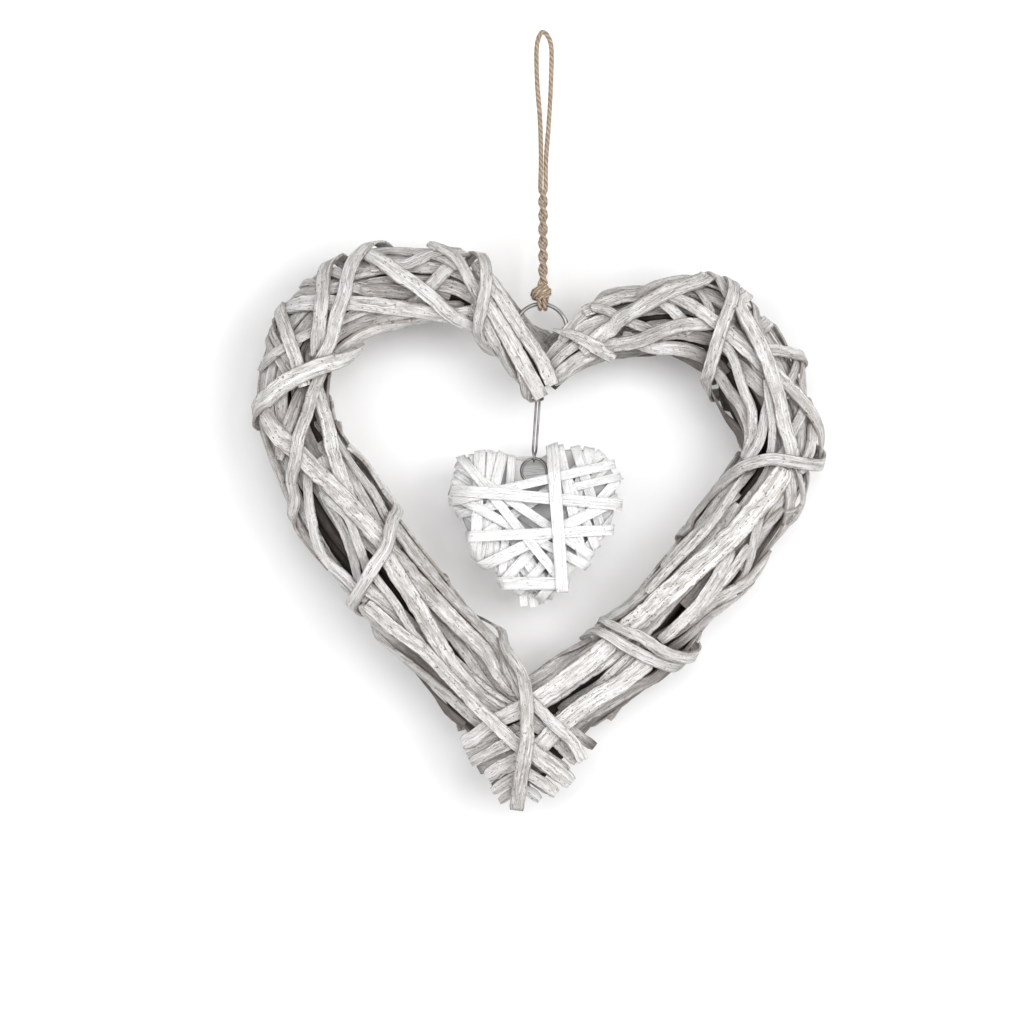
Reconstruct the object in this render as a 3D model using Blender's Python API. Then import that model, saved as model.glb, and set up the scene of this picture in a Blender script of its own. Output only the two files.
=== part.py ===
"""A heart wreath wound from split willow, with a small white heart hanging inside it.

Two bundles of rods are bent into the halves of a heart, cross at the cleft and cross again at the tip.
Flat willow strips are laid over them one after the other, so each strip rests on what is under it.
A wire ring at the cleft holds a jute loop above and a wire link below, and the small heart hangs on the link.

The frame: metres, +Z up, the front of the wreath faces -Y, and the origin is the top of the jute loop,
inside it, where it hangs. A place across the front is a mark (right, down), read in steps of STEP from a
picture in which the heart is MARK_WIDTH steps wide.
"""

import math

import bmesh
import bpy
import numpy as np
from mathutils import Matrix, Vector
from mathutils.bvhtree import BVHTree

# Driving sizes, in metres

HEART_WIDTH = 0.280
BUNDLE_DEPTH = 0.025
CROSSING_DEPTH = 0.007
COVER = 0.0045
STRIP_THICKNESS = 0.0017
RING_DIAMETER = 0.0255
RING_WIRE = 0.0020
LINK_WIRE = 0.0011
SMALL_HOLE_WIDTH = 0.0140
SMALL_RING_WIRE = 0.0012
SMALL_HEART_DEPTH = 0.009
SMALL_STRIP_THICKNESS = 0.0010
TWINE = 0.0023
KNOT_DIAMETER = 0.0095
GAP = 0.0003

# How finely the faceted solids are made

ROD_COUNT = 8
ROD_RELIEF = 0.07
ROD_TWIST = 2.2
SECTION_SIDES = 24
ROD_STATION = 0.028
STRIP_STATION = 0.0135
STRIP_BEND = 0.5
SMALL_STRIP_STATIONS = 18
PATH_STEP = 0.002
RING_SIDES = 6
RING_STATIONS = 28
SMALL_RING_STATIONS = 16
LINK_STATIONS = 13
HOLE_SIDES = 14
TWIST_STATIONS = 22
LOOP_STATIONS = 78
KNOT_SIDES = 10
KNOT_STATIONS = 13
KNOT_TURN_SIDES = 8
KNOT_TURN_STATIONS = 16

# How a strip is carried on round a bundle past its marks: how far along per radian at most, and how much
# it must already turn, in radians, to be carried on at a slant

STEEPEST_PITCH = 0.009
LEAST_TURN = 0.8

# A bundle is thin within TIP_REACH of the middle of the tip, and its strips lie COVER deep where it is
# at least FULL_COVER wide on either side. SECTION_ARC is the arc of its section for one radian of turn,
# as a share of its depth

TIP_REACH = 0.0303
FULL_COVER = 0.0122
SECTION_ARC = 0.7

# Marks read across the front: the hanging point, and the width of the heart in steps

MARK_WIDTH = 572
HANGING_MARK = (543, 35)
RING_MARK = (541, 330)
TIP_MARK = (523, 740)
SMALL_RING_MARK = (534, 471)
STEP = HEART_WIDTH / MARK_WIDTH
SMALL_RING_DIAMETER = SMALL_HOLE_WIDTH - SMALL_RING_WIRE - 2 * GAP

# The bundles' middles, from the cleft round to the tip: right, down, half the width with its strips

LEFT_MIDDLE = (
    (543, 388, 12), (525, 358, 16), (501, 325, 23), (480, 302, 30), (450, 289, 33), (420, 286, 37),
    (388, 288, 42), (353, 302, 45), (321, 330, 45), (302, 359, 43), (294, 395, 41), (300, 430, 38),
    (312, 460, 40), (330, 491, 44), (350, 524, 46), (390, 577, 46), (440, 644, 46), (485, 703, 44),
    (523, 741, 42), (556, 772, 38),
)
RIGHT_MIDDLE = (
    (548, 384, 14), (570, 352, 25), (601, 330, 30), (637, 324, 37), (688, 322, 45), (733, 350, 46),
    (758, 394, 49), (775, 433, 47), (772, 466, 43), (752, 502, 44), (715, 555, 44), (681, 600, 46),
    (650, 640, 46), (606, 678, 43), (562, 710, 42), (523, 741, 42), (488, 768, 38),
)

# Strips in the order in which they are laid: name, bundle, width in metres, marks along the middle,
# and how far each end is carried on round the bundle, in degrees

STRIPS = (
    ("left_lobe_inner_band", "left", 0.0065, ((350, 352), (385, 328), (412, 308), (448, 272)), (20, 0)),
    ("left_lobe_long_band", "left", 0.0080, ((275, 313), (350, 307), (400, 308), (478, 319)), (0, 0)),
    ("left_lobe_crown_band", "left", 0.0065, ((386, 268), (410, 270), (445, 262)), (0, 0)),
    ("left_lobe_falling_band", "left", 0.0070, ((366, 257), (420, 290), (478, 332)), (60, 60)),
    ("left_lobe_upright_band", "left", 0.0072, ((333, 262), (326, 292), (322, 335)), (120, 0)),
    ("left_lobe_slanting_band", "left", 0.0068, ((376, 249), (350, 281), (338, 320), (322, 362)), (150, 0)),
    ("left_shoulder_band", "left", 0.0066, ((284, 320), (291, 337), (303, 374)), (0, 0)),
    ("left_lobe_broad_wrap", "left", 0.0083, ((258, 407), (300, 379), (338, 359), (368, 350)), (110, 120)),
    ("left_lobe_front_wrap", "left", 0.0065, ((472, 259), (483, 300), (489, 355)), (130, 110)),
    ("left_arm_long_diagonal", "left", 0.0090,
     ((264, 414), (303, 455), (345, 498), (398, 556), (460, 624), (513, 682)), (60, 0)),
    ("left_arm_inner_strip", "left", 0.0065, ((331, 400), (336, 440), (352, 482), (390, 532)), (0, 0)),
    ("left_arm_middle_strip", "left", 0.0062, ((320, 380), (303, 435), (298, 490), (308, 550)), (0, 0)),
    ("left_arm_outer_strip", "left", 0.0056, ((268, 440), (290, 500), (322, 555), (346, 584)), (0, 0)),
    ("left_arm_edge_strip", "left", 0.0070, ((400, 532), (450, 590), (490, 636), (515, 670)), (0, 0)),
    ("left_arm_lower_edge", "left", 0.0055, ((362, 630), (395, 668), (432, 706), (458, 730)), (0, 0)),
    ("left_arm_lower_strip", "left", 0.0062, ((375, 625), (420, 668), (468, 712)), (0, 0)),
    ("left_arm_broad_strip", "left", 0.0085, ((393, 565), (430, 625), (470, 680), (500, 708)), (0, 0)),
    ("left_arm_light_strip", "left", 0.0066, ((368, 603), (425, 650), (475, 700), (545, 762)), (0, 0)),
    ("left_arm_tie", "left", 0.0065, ((356, 455), (392, 495), (380, 558), (351, 612)), (120, 150)),
    ("right_lobe_inner_edge", "right", 0.0060, ((622, 357), (652, 353), (700, 382)), (0, 0)),
    ("right_lobe_low_band", "right", 0.0068, ((570, 368), (600, 352), (665, 331), (722, 322)), (0, 0)),
    ("right_lobe_high_band", "right", 0.0072, ((598, 335), (630, 318), (660, 303), (700, 284)), (0, 100)),
    ("right_lobe_crossing_band", "right", 0.0062, ((672, 300), (715, 326), (757, 362)), (60, 0)),
    ("right_lobe_middle_band", "right", 0.0062, ((642, 345), (670, 346), (712, 356)), (0, 0)),
    ("right_cleft_strip", "right", 0.0060, ((570, 337), (590, 345), (612, 359)), (0, 90)),
    ("right_lobe_upright_wrap", "right", 0.0064, ((726, 292), (719, 335), (706, 392)), (130, 110)),
    ("right_shoulder_corner_wrap", "right", 0.0075, ((803, 364), (785, 355), (762, 353)), (110, 0)),
    ("right_shoulder_outer_strip", "right", 0.0064, ((770, 370), (800, 402), (822, 445)), (0, 60)),
    ("right_shoulder_inner_strip", "right", 0.0062, ((708, 374), (735, 408), (744, 440)), (0, 0)),
    ("right_shoulder_long_strip", "right", 0.0074, ((733, 306), (752, 338), (773, 395), (787, 448)), (90, 0)),
    ("right_arm_edge_rod", "right", 0.0074, ((672, 562), (640, 592), (606, 620)), (0, 0)),
    ("right_arm_inner_strip", "right", 0.0055, ((742, 474), (718, 512), (690, 545)), (0, 0)),
    ("right_arm_broad_strip", "right", 0.0100, ((774, 480), (735, 530), (680, 582), (628, 626)), (0, 0)),
    ("right_arm_outer_strip", "right", 0.0064, ((786, 474), (785, 520), (768, 565), (748, 592)), (0, 0)),
    ("right_arm_lower_strip", "right", 0.0066, ((763, 562), (715, 600), (664, 638)), (0, 0)),
    ("right_shoulder_tie", "right", 0.0055, ((816, 463), (765, 461), (722, 480), (688, 520)), (120, 70)),
    ("tip_left_upper_strip", "right", 0.0085, ((612, 642), (555, 685), (505, 713), (468, 739)), (0, 0)),
    ("tip_left_lower_strip", "right", 0.0090, ((648, 660), (590, 700), (540, 740), (488, 776)), (0, 0)),
    ("tip_right_upper_strip", "left", 0.0070, ((533, 703), (556, 725), (580, 755)), (0, 0)),
    ("right_arm_tie", "right", 0.0070, ((562, 645), (600, 630), (645, 643), (700, 660)), (100, 150)),
    ("tip_tie", "tip", 0.0060, ((482, 622), (512, 655), (527, 695), (526, 740), (517, 806)), (60, 0)),
    ("cleft_inner_strip", "left", 0.0058, ((498, 308), (522, 345), (548, 382)), (0, 0)),
    ("cleft_front_strip", "left", 0.0062, ((499, 328), (518, 354), (538, 394)), (0, 0)),
)

# The small heart's outline, from the notch clockwise, its strips, and the hole for its ring

SMALL_HEART_OUTLINE = (
    (534, 458), (552, 448), (580, 445), (606, 454), (620, 478), (618, 510), (603, 540), (575, 572),
    (548, 592), (532, 598), (516, 590), (488, 566), (466, 538), (454, 508), (452, 482), (462, 460),
    (484, 451), (512, 454),
)
SMALL_STRIPS = (
    ("small_heart_left_fan", 0.0050, (470, 455), (478, 560)),
    ("small_heart_left_upright", 0.0055, (500, 452), (506, 588)),
    ("small_heart_right_upright", 0.0050, (598, 446), (574, 575)),
    ("small_heart_slant", 0.0050, (476, 462), (572, 574)),
    ("small_heart_foot_band", 0.0056, (494, 574), (560, 582)),
    ("small_heart_lower_band", 0.0058, (456, 537), (612, 530)),
    ("small_heart_upper_band", 0.0056, (452, 490), (622, 504)),
    ("small_heart_shoulder_band", 0.0046, (512, 486), (620, 463)),
    ("small_heart_front_upright", 0.0056, (552, 446), (561, 584)),
)

# The middle of the twine down the left and right side of the open loop, and where it is twisted

LOOP_TOP_MARK = (543, 32)
OPEN_LOOP = ((537, 45), (537, 80), (540, 120), (541, 160))
OPEN_LOOP_RIGHT = ((551, 45), (551, 80), (549, 120), (546, 160))
TWIST_START_MARK = (543, 188)
TWIST_END_MARK = (543, 284)
TWIST_TURNS = 3.5


def across(mark):
    """The x and z of a mark on the front."""
    return np.array(((mark[0] - HANGING_MARK[0]) * STEP, (HANGING_MARK[1] - mark[1]) * STEP))


def smooth_through(marks, step):
    """Points about step apart on a smooth curve through the given points."""
    marks = np.array(marks, float)
    marks = np.vstack([2 * marks[0] - marks[1], marks, 2 * marks[-1] - marks[-2]])
    points = []
    for a, b, c, d in zip(marks, marks[1:], marks[2:], marks[3:]):
        count = max(2, math.ceil(np.linalg.norm(c - b) / step))
        for t in np.arange(count) / count:
            bow = (2 * a - 5 * b + 4 * c - d) * t**2 + (3 * b - a - 3 * c + d) * t**3
            points.append(0.5 * (2 * b + (c - a) * t + bow))
    return np.array([*points, marks[-2]])


def unit(vectors):
    """The vectors, each with a length of one."""
    return vectors / np.maximum(np.linalg.norm(vectors, axis=-1, keepdims=True), 1e-9)


def eased(share):
    """A share from 0 to 1 that leaves and arrives gently."""
    share = np.clip(share, 0, 1)
    return share * share * (3 - 2 * share)


def run_along(points):
    """The distance run along the points up to each of them."""
    return np.concatenate([[0], np.cumsum(np.linalg.norm(np.diff(points, axis=0), axis=1))])


class Bundle:
    """One half of the heart: rods bent along a middle line, oval in section, thin where the halves cross."""

    RELAX = 0.026
    BEYOND = 0.014

    def __init__(self, marks, inner_side, depth_side):
        line = smooth_through([(*across(m[:2]), m[2] * STEP) for m in marks], PATH_STEP)
        line = self.carried_straight_on(line)
        self.middle = line[:, :2]
        self.half = line[:, 2]
        self.run = run_along(self.middle)
        along = unit(np.gradient(self.middle, axis=0))
        self.inward = inner_side * np.stack([along[:, 1], -along[:, 0]], axis=1)
        ring_reach = (RING_DIAMETER + RING_WIRE) / 2 + self.half
        from_ring = self.off(RING_MARK)
        at_ring = 1 - eased((from_ring - ring_reach) / self.RELAX)
        at_ring[: np.argmin(from_ring)] = 1
        at_tip = 1 - eased((self.off(TIP_MARK) - TIP_REACH) / self.RELAX)
        thin = np.maximum(at_ring, at_tip)
        self.wide = self.half - COVER * np.clip(self.half / FULL_COVER, 0.5, 1)
        self.deep = (BUNDLE_DEPTH * (1 - thin) + CROSSING_DEPTH * thin) / 2
        slot = RING_WIRE / 2 + LINK_WIRE + 2 * GAP
        clear = CROSSING_DEPTH / 2 * (1 + ROD_RELIEF)
        self.shift = depth_side * (at_ring * (clear + slot) + at_tip * (clear + GAP))

    def carried_straight_on(self, line):
        """The line with a straight stretch at either end, where strips may stand out past the rods."""
        steps = np.arange(1, round(self.BEYOND / PATH_STEP) + 1)[:, None]
        before = line[0] + (line[0] - line[1]) * (1, 1, 0) * steps[::-1]
        after = line[-1] + (line[-1] - line[-2]) * (1, 1, 0) * steps
        self.first = run_along(np.vstack([before, line[:1]])[:, :2])[-1]
        line = np.vstack([before, line, after])
        self.last = run_along(line[:, :2])[-1] - self.first
        return line

    def off(self, mark):
        """How far each point of the middle line is from a mark."""
        return np.linalg.norm(self.middle - across(mark), axis=1)

    def surface(self, run, turn, proud=1.0):
        """Points on the rods and directions out of them; turn is 0 in front, a quarter at the inner edge."""
        middle = read_at(run, self.run, self.middle)
        inward = unit(read_at(run, self.run, self.inward))
        wide = np.interp(run, self.run, self.wide) * proud
        deep = np.interp(run, self.run, self.deep) * proud
        shift = np.interp(run, self.run, self.shift)
        flat = middle + inward * (wide * np.sin(turn))[:, None]
        points = np.stack([flat[:, 0], shift - deep * np.cos(turn), flat[:, 1]], axis=1)
        lean = inward * (np.sin(turn) / wide)[:, None]
        return points, unit(np.stack([lean[:, 0], -np.cos(turn) / deep, lean[:, 1]], axis=1))

    def locate(self, place):
        """The run and the turn at which a place on the front lies."""
        nearest = int(np.argmin(np.linalg.norm(self.middle - place, axis=1)))
        offset = float(np.dot(place - self.middle[nearest], self.inward[nearest]))
        return self.run[nearest], math.asin(max(-1.0, min(1.0, offset / self.half[nearest])))


LEFT = Bundle(LEFT_MIDDLE, inner_side=-1, depth_side=-1)
RIGHT = Bundle(RIGHT_MIDDLE, inner_side=1, depth_side=1)


def strip_bed(bundle, marks, carried, station):
    """Points and outward directions along a strip's bed on a bundle, carried on round it at either end."""
    found = np.array([bundle.locate(across(m)) for m in marks])
    run, turn = found[:, 0], found[:, 1]
    pitch = (run[-1] - run[0]) / (turn[-1] - turn[0]) if abs(turn[-1] - turn[0]) > LEAST_TURN else 0.0
    pitch = max(-STEEPEST_PITCH, min(STEEPEST_PITCH, pitch))
    way = 1 if turn[-1] > turn[0] else -1
    ends = []
    for where, degrees, side in ((0, carried[0], -way), (-1, carried[1], way)):
        angle = math.radians(degrees)
        count = 1 + int(degrees / 45)
        shares = np.arange(1, count + 1) / count if degrees else ()
        ends.append([(run[where] + side * angle * s * pitch, turn[where] + side * angle * s) for s in shares])
    path = np.array([*ends[0][::-1], *found, *ends[1]])
    scale = np.array([1, BUNDLE_DEPTH * SECTION_ARC])
    path = smooth_through(path * scale, PATH_STEP) / scale
    points, out = bundle.surface(np.clip(path[:, 0], 0, bundle.run[-1]), path[:, 1])
    return even_stations(points, out, station)


def tip_bed(marks, carried, station):
    """The bed of the tie down the tip: from the left bundle's inner edge flat over the crossing."""
    points, out = strip_bed(LEFT, marks[:3], carried, PATH_STEP)
    flat = np.array([(x, 0.0, z) for x, z in (across(m) for m in marks[2:])])
    flat = smooth_through(np.vstack([points[-1:], flat[1:]]), PATH_STEP)
    points = np.vstack([points, flat[1:]])
    out = np.vstack([out, np.tile((0.0, -1.0, 0.0), (len(flat) - 1, 1))])
    for _ in range(12):
        out[1:-1] = unit(out[:-2] + 2 * out[1:-1] + out[2:])
        points[1:-1, 1] = (points[:-2, 1] + 2 * points[1:-1, 1] + points[2:, 1]) / 4
    return even_stations(points, out, station)


def even_stations(points, out, station):
    """The same bed with its stations spaced along it, closer where it bends."""
    pace = run_along(points) / station + run_along(unit(out)) / STRIP_BEND
    even = np.linspace(0, pace[-1], max(5, round(pace[-1]) + 1))
    return read_at(even, pace, points), unit(read_at(even, pace, out))


def read_at(places, pace, values):
    """The rows of values read at places along their pace."""
    return np.stack([np.interp(places, pace, column) for column in values.T], axis=1)


class Pile:
    """Everything laid so far, which the next strip rests on."""

    REACH = 0.024
    LOWEST = -0.004

    def __init__(self):
        self.points = []
        self.faces = []
        self.tree = None

    def add(self, bm):
        """Put a finished mesh on the pile."""
        start = len(self.points)
        bm.verts.index_update()
        self.points += [tuple(v.co) for v in bm.verts]
        self.faces += [tuple(start + v.index for v in face.verts) for face in bm.faces]
        self.tree = BVHTree.FromPolygons(self.points, self.faces)

    def height(self, point, out):
        """How far out of the bed the pile reaches at a point."""
        hit = self.tree.ray_cast(Vector(point + out * self.REACH), Vector(-out), self.REACH - self.LOWEST)
        return self.LOWEST if hit[3] is None else self.REACH - hit[3]


def frame_along(points, out):
    """The directions across and out of a strip at each station."""
    along = unit(np.gradient(points, axis=0))
    out = unit(out - along * np.sum(along * out, axis=1, keepdims=True))
    return np.cross(out, along), out


def ribbon_sections(points, out, width, thickness, lift):
    """The four corners of a flat strip at each station."""
    side, up = frame_along(points, out)
    half = side * width / 2
    low = points + up * lift[:, None]
    high = low + up * thickness
    return np.stack([low - half, low + half, high + half, high - half], axis=1)


def lay_strip(pile, points, out, width, thickness):
    """Lay one stiff strip on the pile, and lift it where it still cuts into what is there."""
    side, up = frame_along(points, out)
    shares = np.linspace(-0.5, 0.5, 5) * width
    stations = list(zip(points, side, up))
    need = np.array([max(pile.height(p + s * share, u) for share in shares) for p, s, u in stations])
    need = np.maximum(need, 0) + GAP
    need = np.array([need[max(0, k - 1) : k + 2].max() for k in range(len(need))])
    lift = bridged(need)
    for _ in range(80):
        trial = ribbon_sections(points, out, width + GAP, thickness + GAP, lift - GAP / 2)
        struck = struck_stations(pile, trial)
        if not struck:
            break
        need = lift.copy()
        need[struck] += GAP
        lift = bridged(need)
    return ribbon_sections(points, out, width, thickness, lift)


def struck_stations(pile, sections, closed=False):
    """The stations at which a strip with these sections would cut into the pile."""
    trial = swept(sections, closed)
    trial.faces.ensure_lookup_table()
    trial.verts.index_update()
    struck = {face for face, _ in BVHTree.FromBMesh(trial).overlap(pile.tree)}
    corners = len(sections[0])
    stations = sorted({vert.index // corners for face in struck for vert in trial.faces[face].verts})
    trial.free()
    return stations


def bridged(need):
    """Heights no lower than needed, that span dips as a stiff strip does."""
    lift = need.copy()
    for _ in range(3):
        spread = np.concatenate([[lift[0]], (lift[:-2] + 2 * lift[1:-1] + lift[2:]) / 4, [lift[-1]]])
        lift = np.maximum(need, spread)
    return lift


def swept(sections, closed=False):
    """A mesh swept through sections: the first is a face, and each next one is extruded from the last."""
    bm = bmesh.new()
    cap = bm.faces.new([bm.verts.new(p) for p in sections[0]])
    first = list(cap.verts)
    for k, section in enumerate(sections[1:]):
        made = bmesh.ops.extrude_face_region(bm, geom=[cap])["geom"]
        if k:
            bm.faces.remove(cap)
        cap = next(g for g in made if isinstance(g, bmesh.types.BMFace))
        for vert, place in zip(cap.verts, section):
            vert.co = place
    if closed:
        last = list(cap.verts)
        start = next(f for f in bm.faces if set(f.verts) == set(first))
        bm.faces.remove(start)
        bm.faces.remove(cap)
        for k in range(len(first)):
            following = (k + 1) % len(first)
            bm.faces.new((last[k], first[k], first[following], last[following]))
    bmesh.ops.recalc_face_normals(bm, faces=bm.faces)
    bmesh.ops.triangulate(bm, faces=bm.faces)
    return bm


def plain_material(name, colour, roughness, metallic=0.0):
    """One plain colour for a material slot."""
    material = bpy.data.materials.new(name)
    material.use_nodes = True
    shader = material.node_tree.nodes["Principled BSDF"]
    shader.inputs["Base Color"].default_value = (*colour, 1)
    shader.inputs["Roughness"].default_value = roughness
    shader.inputs["Metallic"].default_value = metallic
    return material


def add_object(name, bm, material, parent, smooth=False):
    """One named object from a finished mesh."""
    mesh = bpy.data.meshes.new(name)
    bm.to_mesh(mesh)
    bm.free()
    mesh.materials.append(material)
    if smooth:
        mesh.shade_smooth()
        mesh.set_sharp_from_angle(angle=math.radians(40))
    piece = bpy.data.objects.new(name, mesh)
    bpy.context.scene.collection.objects.link(piece)
    piece.parent = parent
    return piece


def rod_bundle_sections(bundle):
    """Sections of a bundle whose outline shows its rods, twisted slowly along it."""
    count = round((bundle.last - bundle.first) / ROD_STATION)
    runs = np.linspace(bundle.first, bundle.last, count)
    turns = np.arange(SECTION_SIDES) * 2 * math.pi / SECTION_SIDES
    sections = []
    for run in runs:
        twist = ROD_TWIST * run / bundle.run[-1]
        rods = 1 - ROD_RELIEF * (1 - np.abs(np.cos(ROD_COUNT * (turns - twist) / 2)))
        points, _ = bundle.surface(np.full(SECTION_SIDES, run), turns, rods)
        sections.append(points)
    return np.array(sections)


def build_bundles(pile, material, parent):
    """The rods of both halves of the heart."""
    for name, bundle in (("left_rod_bundle", LEFT), ("right_rod_bundle", RIGHT)):
        rods = swept(rod_bundle_sections(bundle))
        pile.add(rods)
        add_object(name, rods, material, parent)


def round_sections(middle, radius, sides, first_side):
    """Sections of a round wire along a closed line of points, which stays near one plane."""
    along = unit(np.roll(middle, -1, axis=0) - np.roll(middle, 1, axis=0))
    side = unit(first_side - along * np.sum(along * first_side, axis=1, keepdims=True))
    other = np.cross(along, side)
    angles = np.arange(sides) * 2 * math.pi / sides
    rims = [radius * (np.cos(angles)[:, None] * s + np.sin(angles)[:, None] * o) for s, o in zip(side, other)]
    return middle[:, None] + np.array(rims)


def wire_circle(centre, diameter, count):
    """Points round a circle that faces the front; its diameter is between the wire's middles."""
    x, z = centre
    angles = np.arange(count) * 2 * math.pi / count
    radius = diameter / 2
    return np.stack([x + radius * np.sin(angles), 0 * angles, z + radius * np.cos(angles)], axis=1)


def build_wires(pile, material, parent):
    """The ring at the cleft, the ring in the small heart, and the link between them."""
    backward = np.array((0.0, 1.0, 0.0))
    ring_line = wire_circle(across(RING_MARK), RING_DIAMETER, RING_STATIONS)
    ring = round_sections(ring_line, RING_WIRE / 2, RING_SIDES, backward)
    small_line = wire_circle(across(SMALL_RING_MARK), SMALL_RING_DIAMETER, SMALL_RING_STATIONS)
    small = round_sections(small_line, SMALL_RING_WIRE / 2, RING_SIDES, backward)
    rightward = np.array((1.0, 0.0, 0.0))
    link = round_sections(wire_link(), LINK_WIRE / 2, RING_SIDES, rightward)
    for name, sections in (("hanging_ring", ring), ("wire_link", link), ("small_heart_ring", small)):
        bent = swept(sections, closed=True)
        pile.add(bent)
        add_object(name, bent, material, parent, smooth=True)


def wire_link():
    """The middle of the link's wire: a long loop that straddles each ring and lies flat between them."""
    top = across(RING_MARK) - (0, RING_DIAMETER / 2)
    foot = across(SMALL_RING_MARK) + (0, SMALL_RING_DIAMETER / 2)
    straddle_top = RING_WIRE / 2 + LINK_WIRE / 2 + GAP
    straddle_foot = SMALL_RING_WIRE / 2 + LINK_WIRE / 2 + GAP
    side_by_side = LINK_WIRE / 2 + GAP
    share = np.linspace(0, 1, LINK_STATIONS)
    middle = top + (foot - top) * share[:, None]
    turned = math.pi / 2 * eased(share / 0.3) * eased((1 - share) / 0.15)
    ends = straddle_top + (straddle_foot - straddle_top) * share
    spread = side_by_side + (ends - side_by_side) * np.cos(turned) ** 2
    leg = np.stack([spread * np.sin(turned), spread * np.cos(turned)], axis=1)
    one = np.stack([middle[:, 0] - leg[:, 0], -leg[:, 1], middle[:, 1]], axis=1)
    other = np.stack([middle[:, 0] + leg[:, 0], leg[:, 1], middle[:, 1]], axis=1)
    bend = np.linspace(0, math.pi, 6)[1:-1]
    over = [(top[0], -straddle_top * math.cos(a), top[1] + straddle_top * math.sin(a)) for a in bend]
    under = [(foot[0], straddle_foot * math.cos(a), foot[1] - straddle_foot * math.sin(a)) for a in bend]
    return np.array([*over, *other, *under, *one[::-1]])


def build_strips(pile, material, parent):
    """The strips, each laid on all that came before it."""
    for name, host, width, marks, carried in STRIPS:
        if host == "tip":
            points, out = tip_bed(marks, carried, STRIP_STATION)
        else:
            points, out = strip_bed(LEFT if host == "left" else RIGHT, marks, carried, STRIP_STATION)
        strip = swept(lay_strip(pile, points, out, width, STRIP_THICKNESS))
        pile.add(strip)
        add_object(name, strip, material, parent)


def small_heart_core():
    """The small heart's body: its outline extruded, its edges rounded off, with a hole at the top."""
    outline = [across(m) for m in SMALL_HEART_OUTLINE]
    inset = 2 * SMALL_STRIP_THICKNESS
    centre = np.mean(outline, axis=0)
    outline = [p + (centre - p) / np.linalg.norm(centre - p) * inset for p in outline]
    bm = bmesh.new()
    front = bm.faces.new([bm.verts.new((x, -SMALL_HEART_DEPTH / 2, z)) for x, z in outline])
    made = bmesh.ops.extrude_face_region(bm, geom=[front])["geom"]
    back = [v for v in made if isinstance(v, bmesh.types.BMVert)]
    bmesh.ops.translate(bm, verts=back, vec=(0, SMALL_HEART_DEPTH, 0))
    bmesh.ops.recalc_face_normals(bm, faces=bm.faces)
    rims = [e for e in bm.edges if abs(e.verts[0].co.y - e.verts[1].co.y) < SMALL_HEART_DEPTH / 4]
    bmesh.ops.bevel(
        bm, geom=rims, offset=SMALL_HEART_DEPTH / 4, segments=2, profile=0.5, affect="EDGES", material=-1
    )
    return bm


def build_small_heart(pile, material, parent):
    """The small heart's core with the hole for its ring, and the strips wound round it."""
    core = add_object("small_heart_core", small_heart_core(), material, parent)
    x, z = across(SMALL_RING_MARK)
    cutter_bm = bmesh.new()
    hole_radius = SMALL_HOLE_WIDTH / 2
    bmesh.ops.create_cone(
        cutter_bm, cap_ends=True, segments=HOLE_SIDES, radius1=hole_radius, radius2=hole_radius,
        depth=3 * SMALL_HEART_DEPTH,
    )
    bmesh.ops.rotate(cutter_bm, verts=cutter_bm.verts, matrix=turn_to_front())
    bmesh.ops.translate(cutter_bm, verts=cutter_bm.verts, vec=(x, 0, z))
    cutter = add_object("ring_hole_cutter", cutter_bm, material, parent)
    cutter.hide_render = True
    cutter.display_type = "WIRE"
    hole = core.modifiers.new("ring hole", "BOOLEAN")
    hole.operation = "DIFFERENCE"
    hole.object = cutter
    plain = small_heart_core()
    pile.add(plain)
    plain.free()
    for name, width, start, end in SMALL_STRIPS:
        strip = swept(wound_band(pile, across(start), across(end), width), closed=True)
        pile.add(strip)
        add_object(name, strip, material, parent)


def turn_to_front():
    """The turn that lays an upright axis along Y."""
    return Matrix.Rotation(math.pi / 2, 3, "X")


def wound_band(pile, start, end, width):
    """A strip wound once round the small heart, taut over what is there, in the plane of its front line."""
    centre = (start + end) / 2
    along = unit(end - start)
    reach = 0.08
    across_band = np.array((along[1], 0.0, -along[0]))
    rays = []
    for angle in np.arange(48) * math.pi / 24:
        toward = np.array((along[0] * math.cos(angle), -math.sin(angle), along[1] * math.cos(angle)))
        far = 0.0
        for share in (-0.5, -0.25, 0, 0.25, 0.5):
            origin = np.array((centre[0], 0.0, centre[1])) + across_band * width * share + toward * reach
            hit = pile.tree.ray_cast(Vector(origin), Vector(-toward), reach)
            if hit[3] is not None:
                far = max(far, reach - hit[3])
        rays.append((far * math.cos(angle), far * math.sin(angle)))
    line, out = taut_loop(rays, SMALL_STRIP_STATIONS)
    lift = np.full(len(line), GAP)
    for _ in range(60):
        low, thick = lift - GAP / 2, SMALL_STRIP_THICKNESS + GAP
        trial = band_sections(line, out, low, width + GAP, thick, centre, along)
        struck = struck_stations(pile, trial, closed=True)
        if not struck:
            break
        lift[struck] += GAP / 2
    return band_sections(line, out, lift, width, SMALL_STRIP_THICKNESS, centre, along)


def band_sections(line, out, lift, width, thickness, centre, along):
    """The four corners of a band at each point of its loop, which lies in an upright plane."""
    across_band = np.array((along[1], 0.0, -along[0]))
    low = line + out * lift[:, None]
    high = low + out * thickness
    corners = []
    for flat, side in ((low, -0.5), (low, 0.5), (high, 0.5), (high, -0.5)):
        x, z = (centre[k] + along[k] * flat[:, 0] for k in (0, 1))
        place = np.stack([x, -flat[:, 1], z], axis=1)
        corners.append(place + across_band * width * side)
    return np.stack(corners, axis=1)


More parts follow.
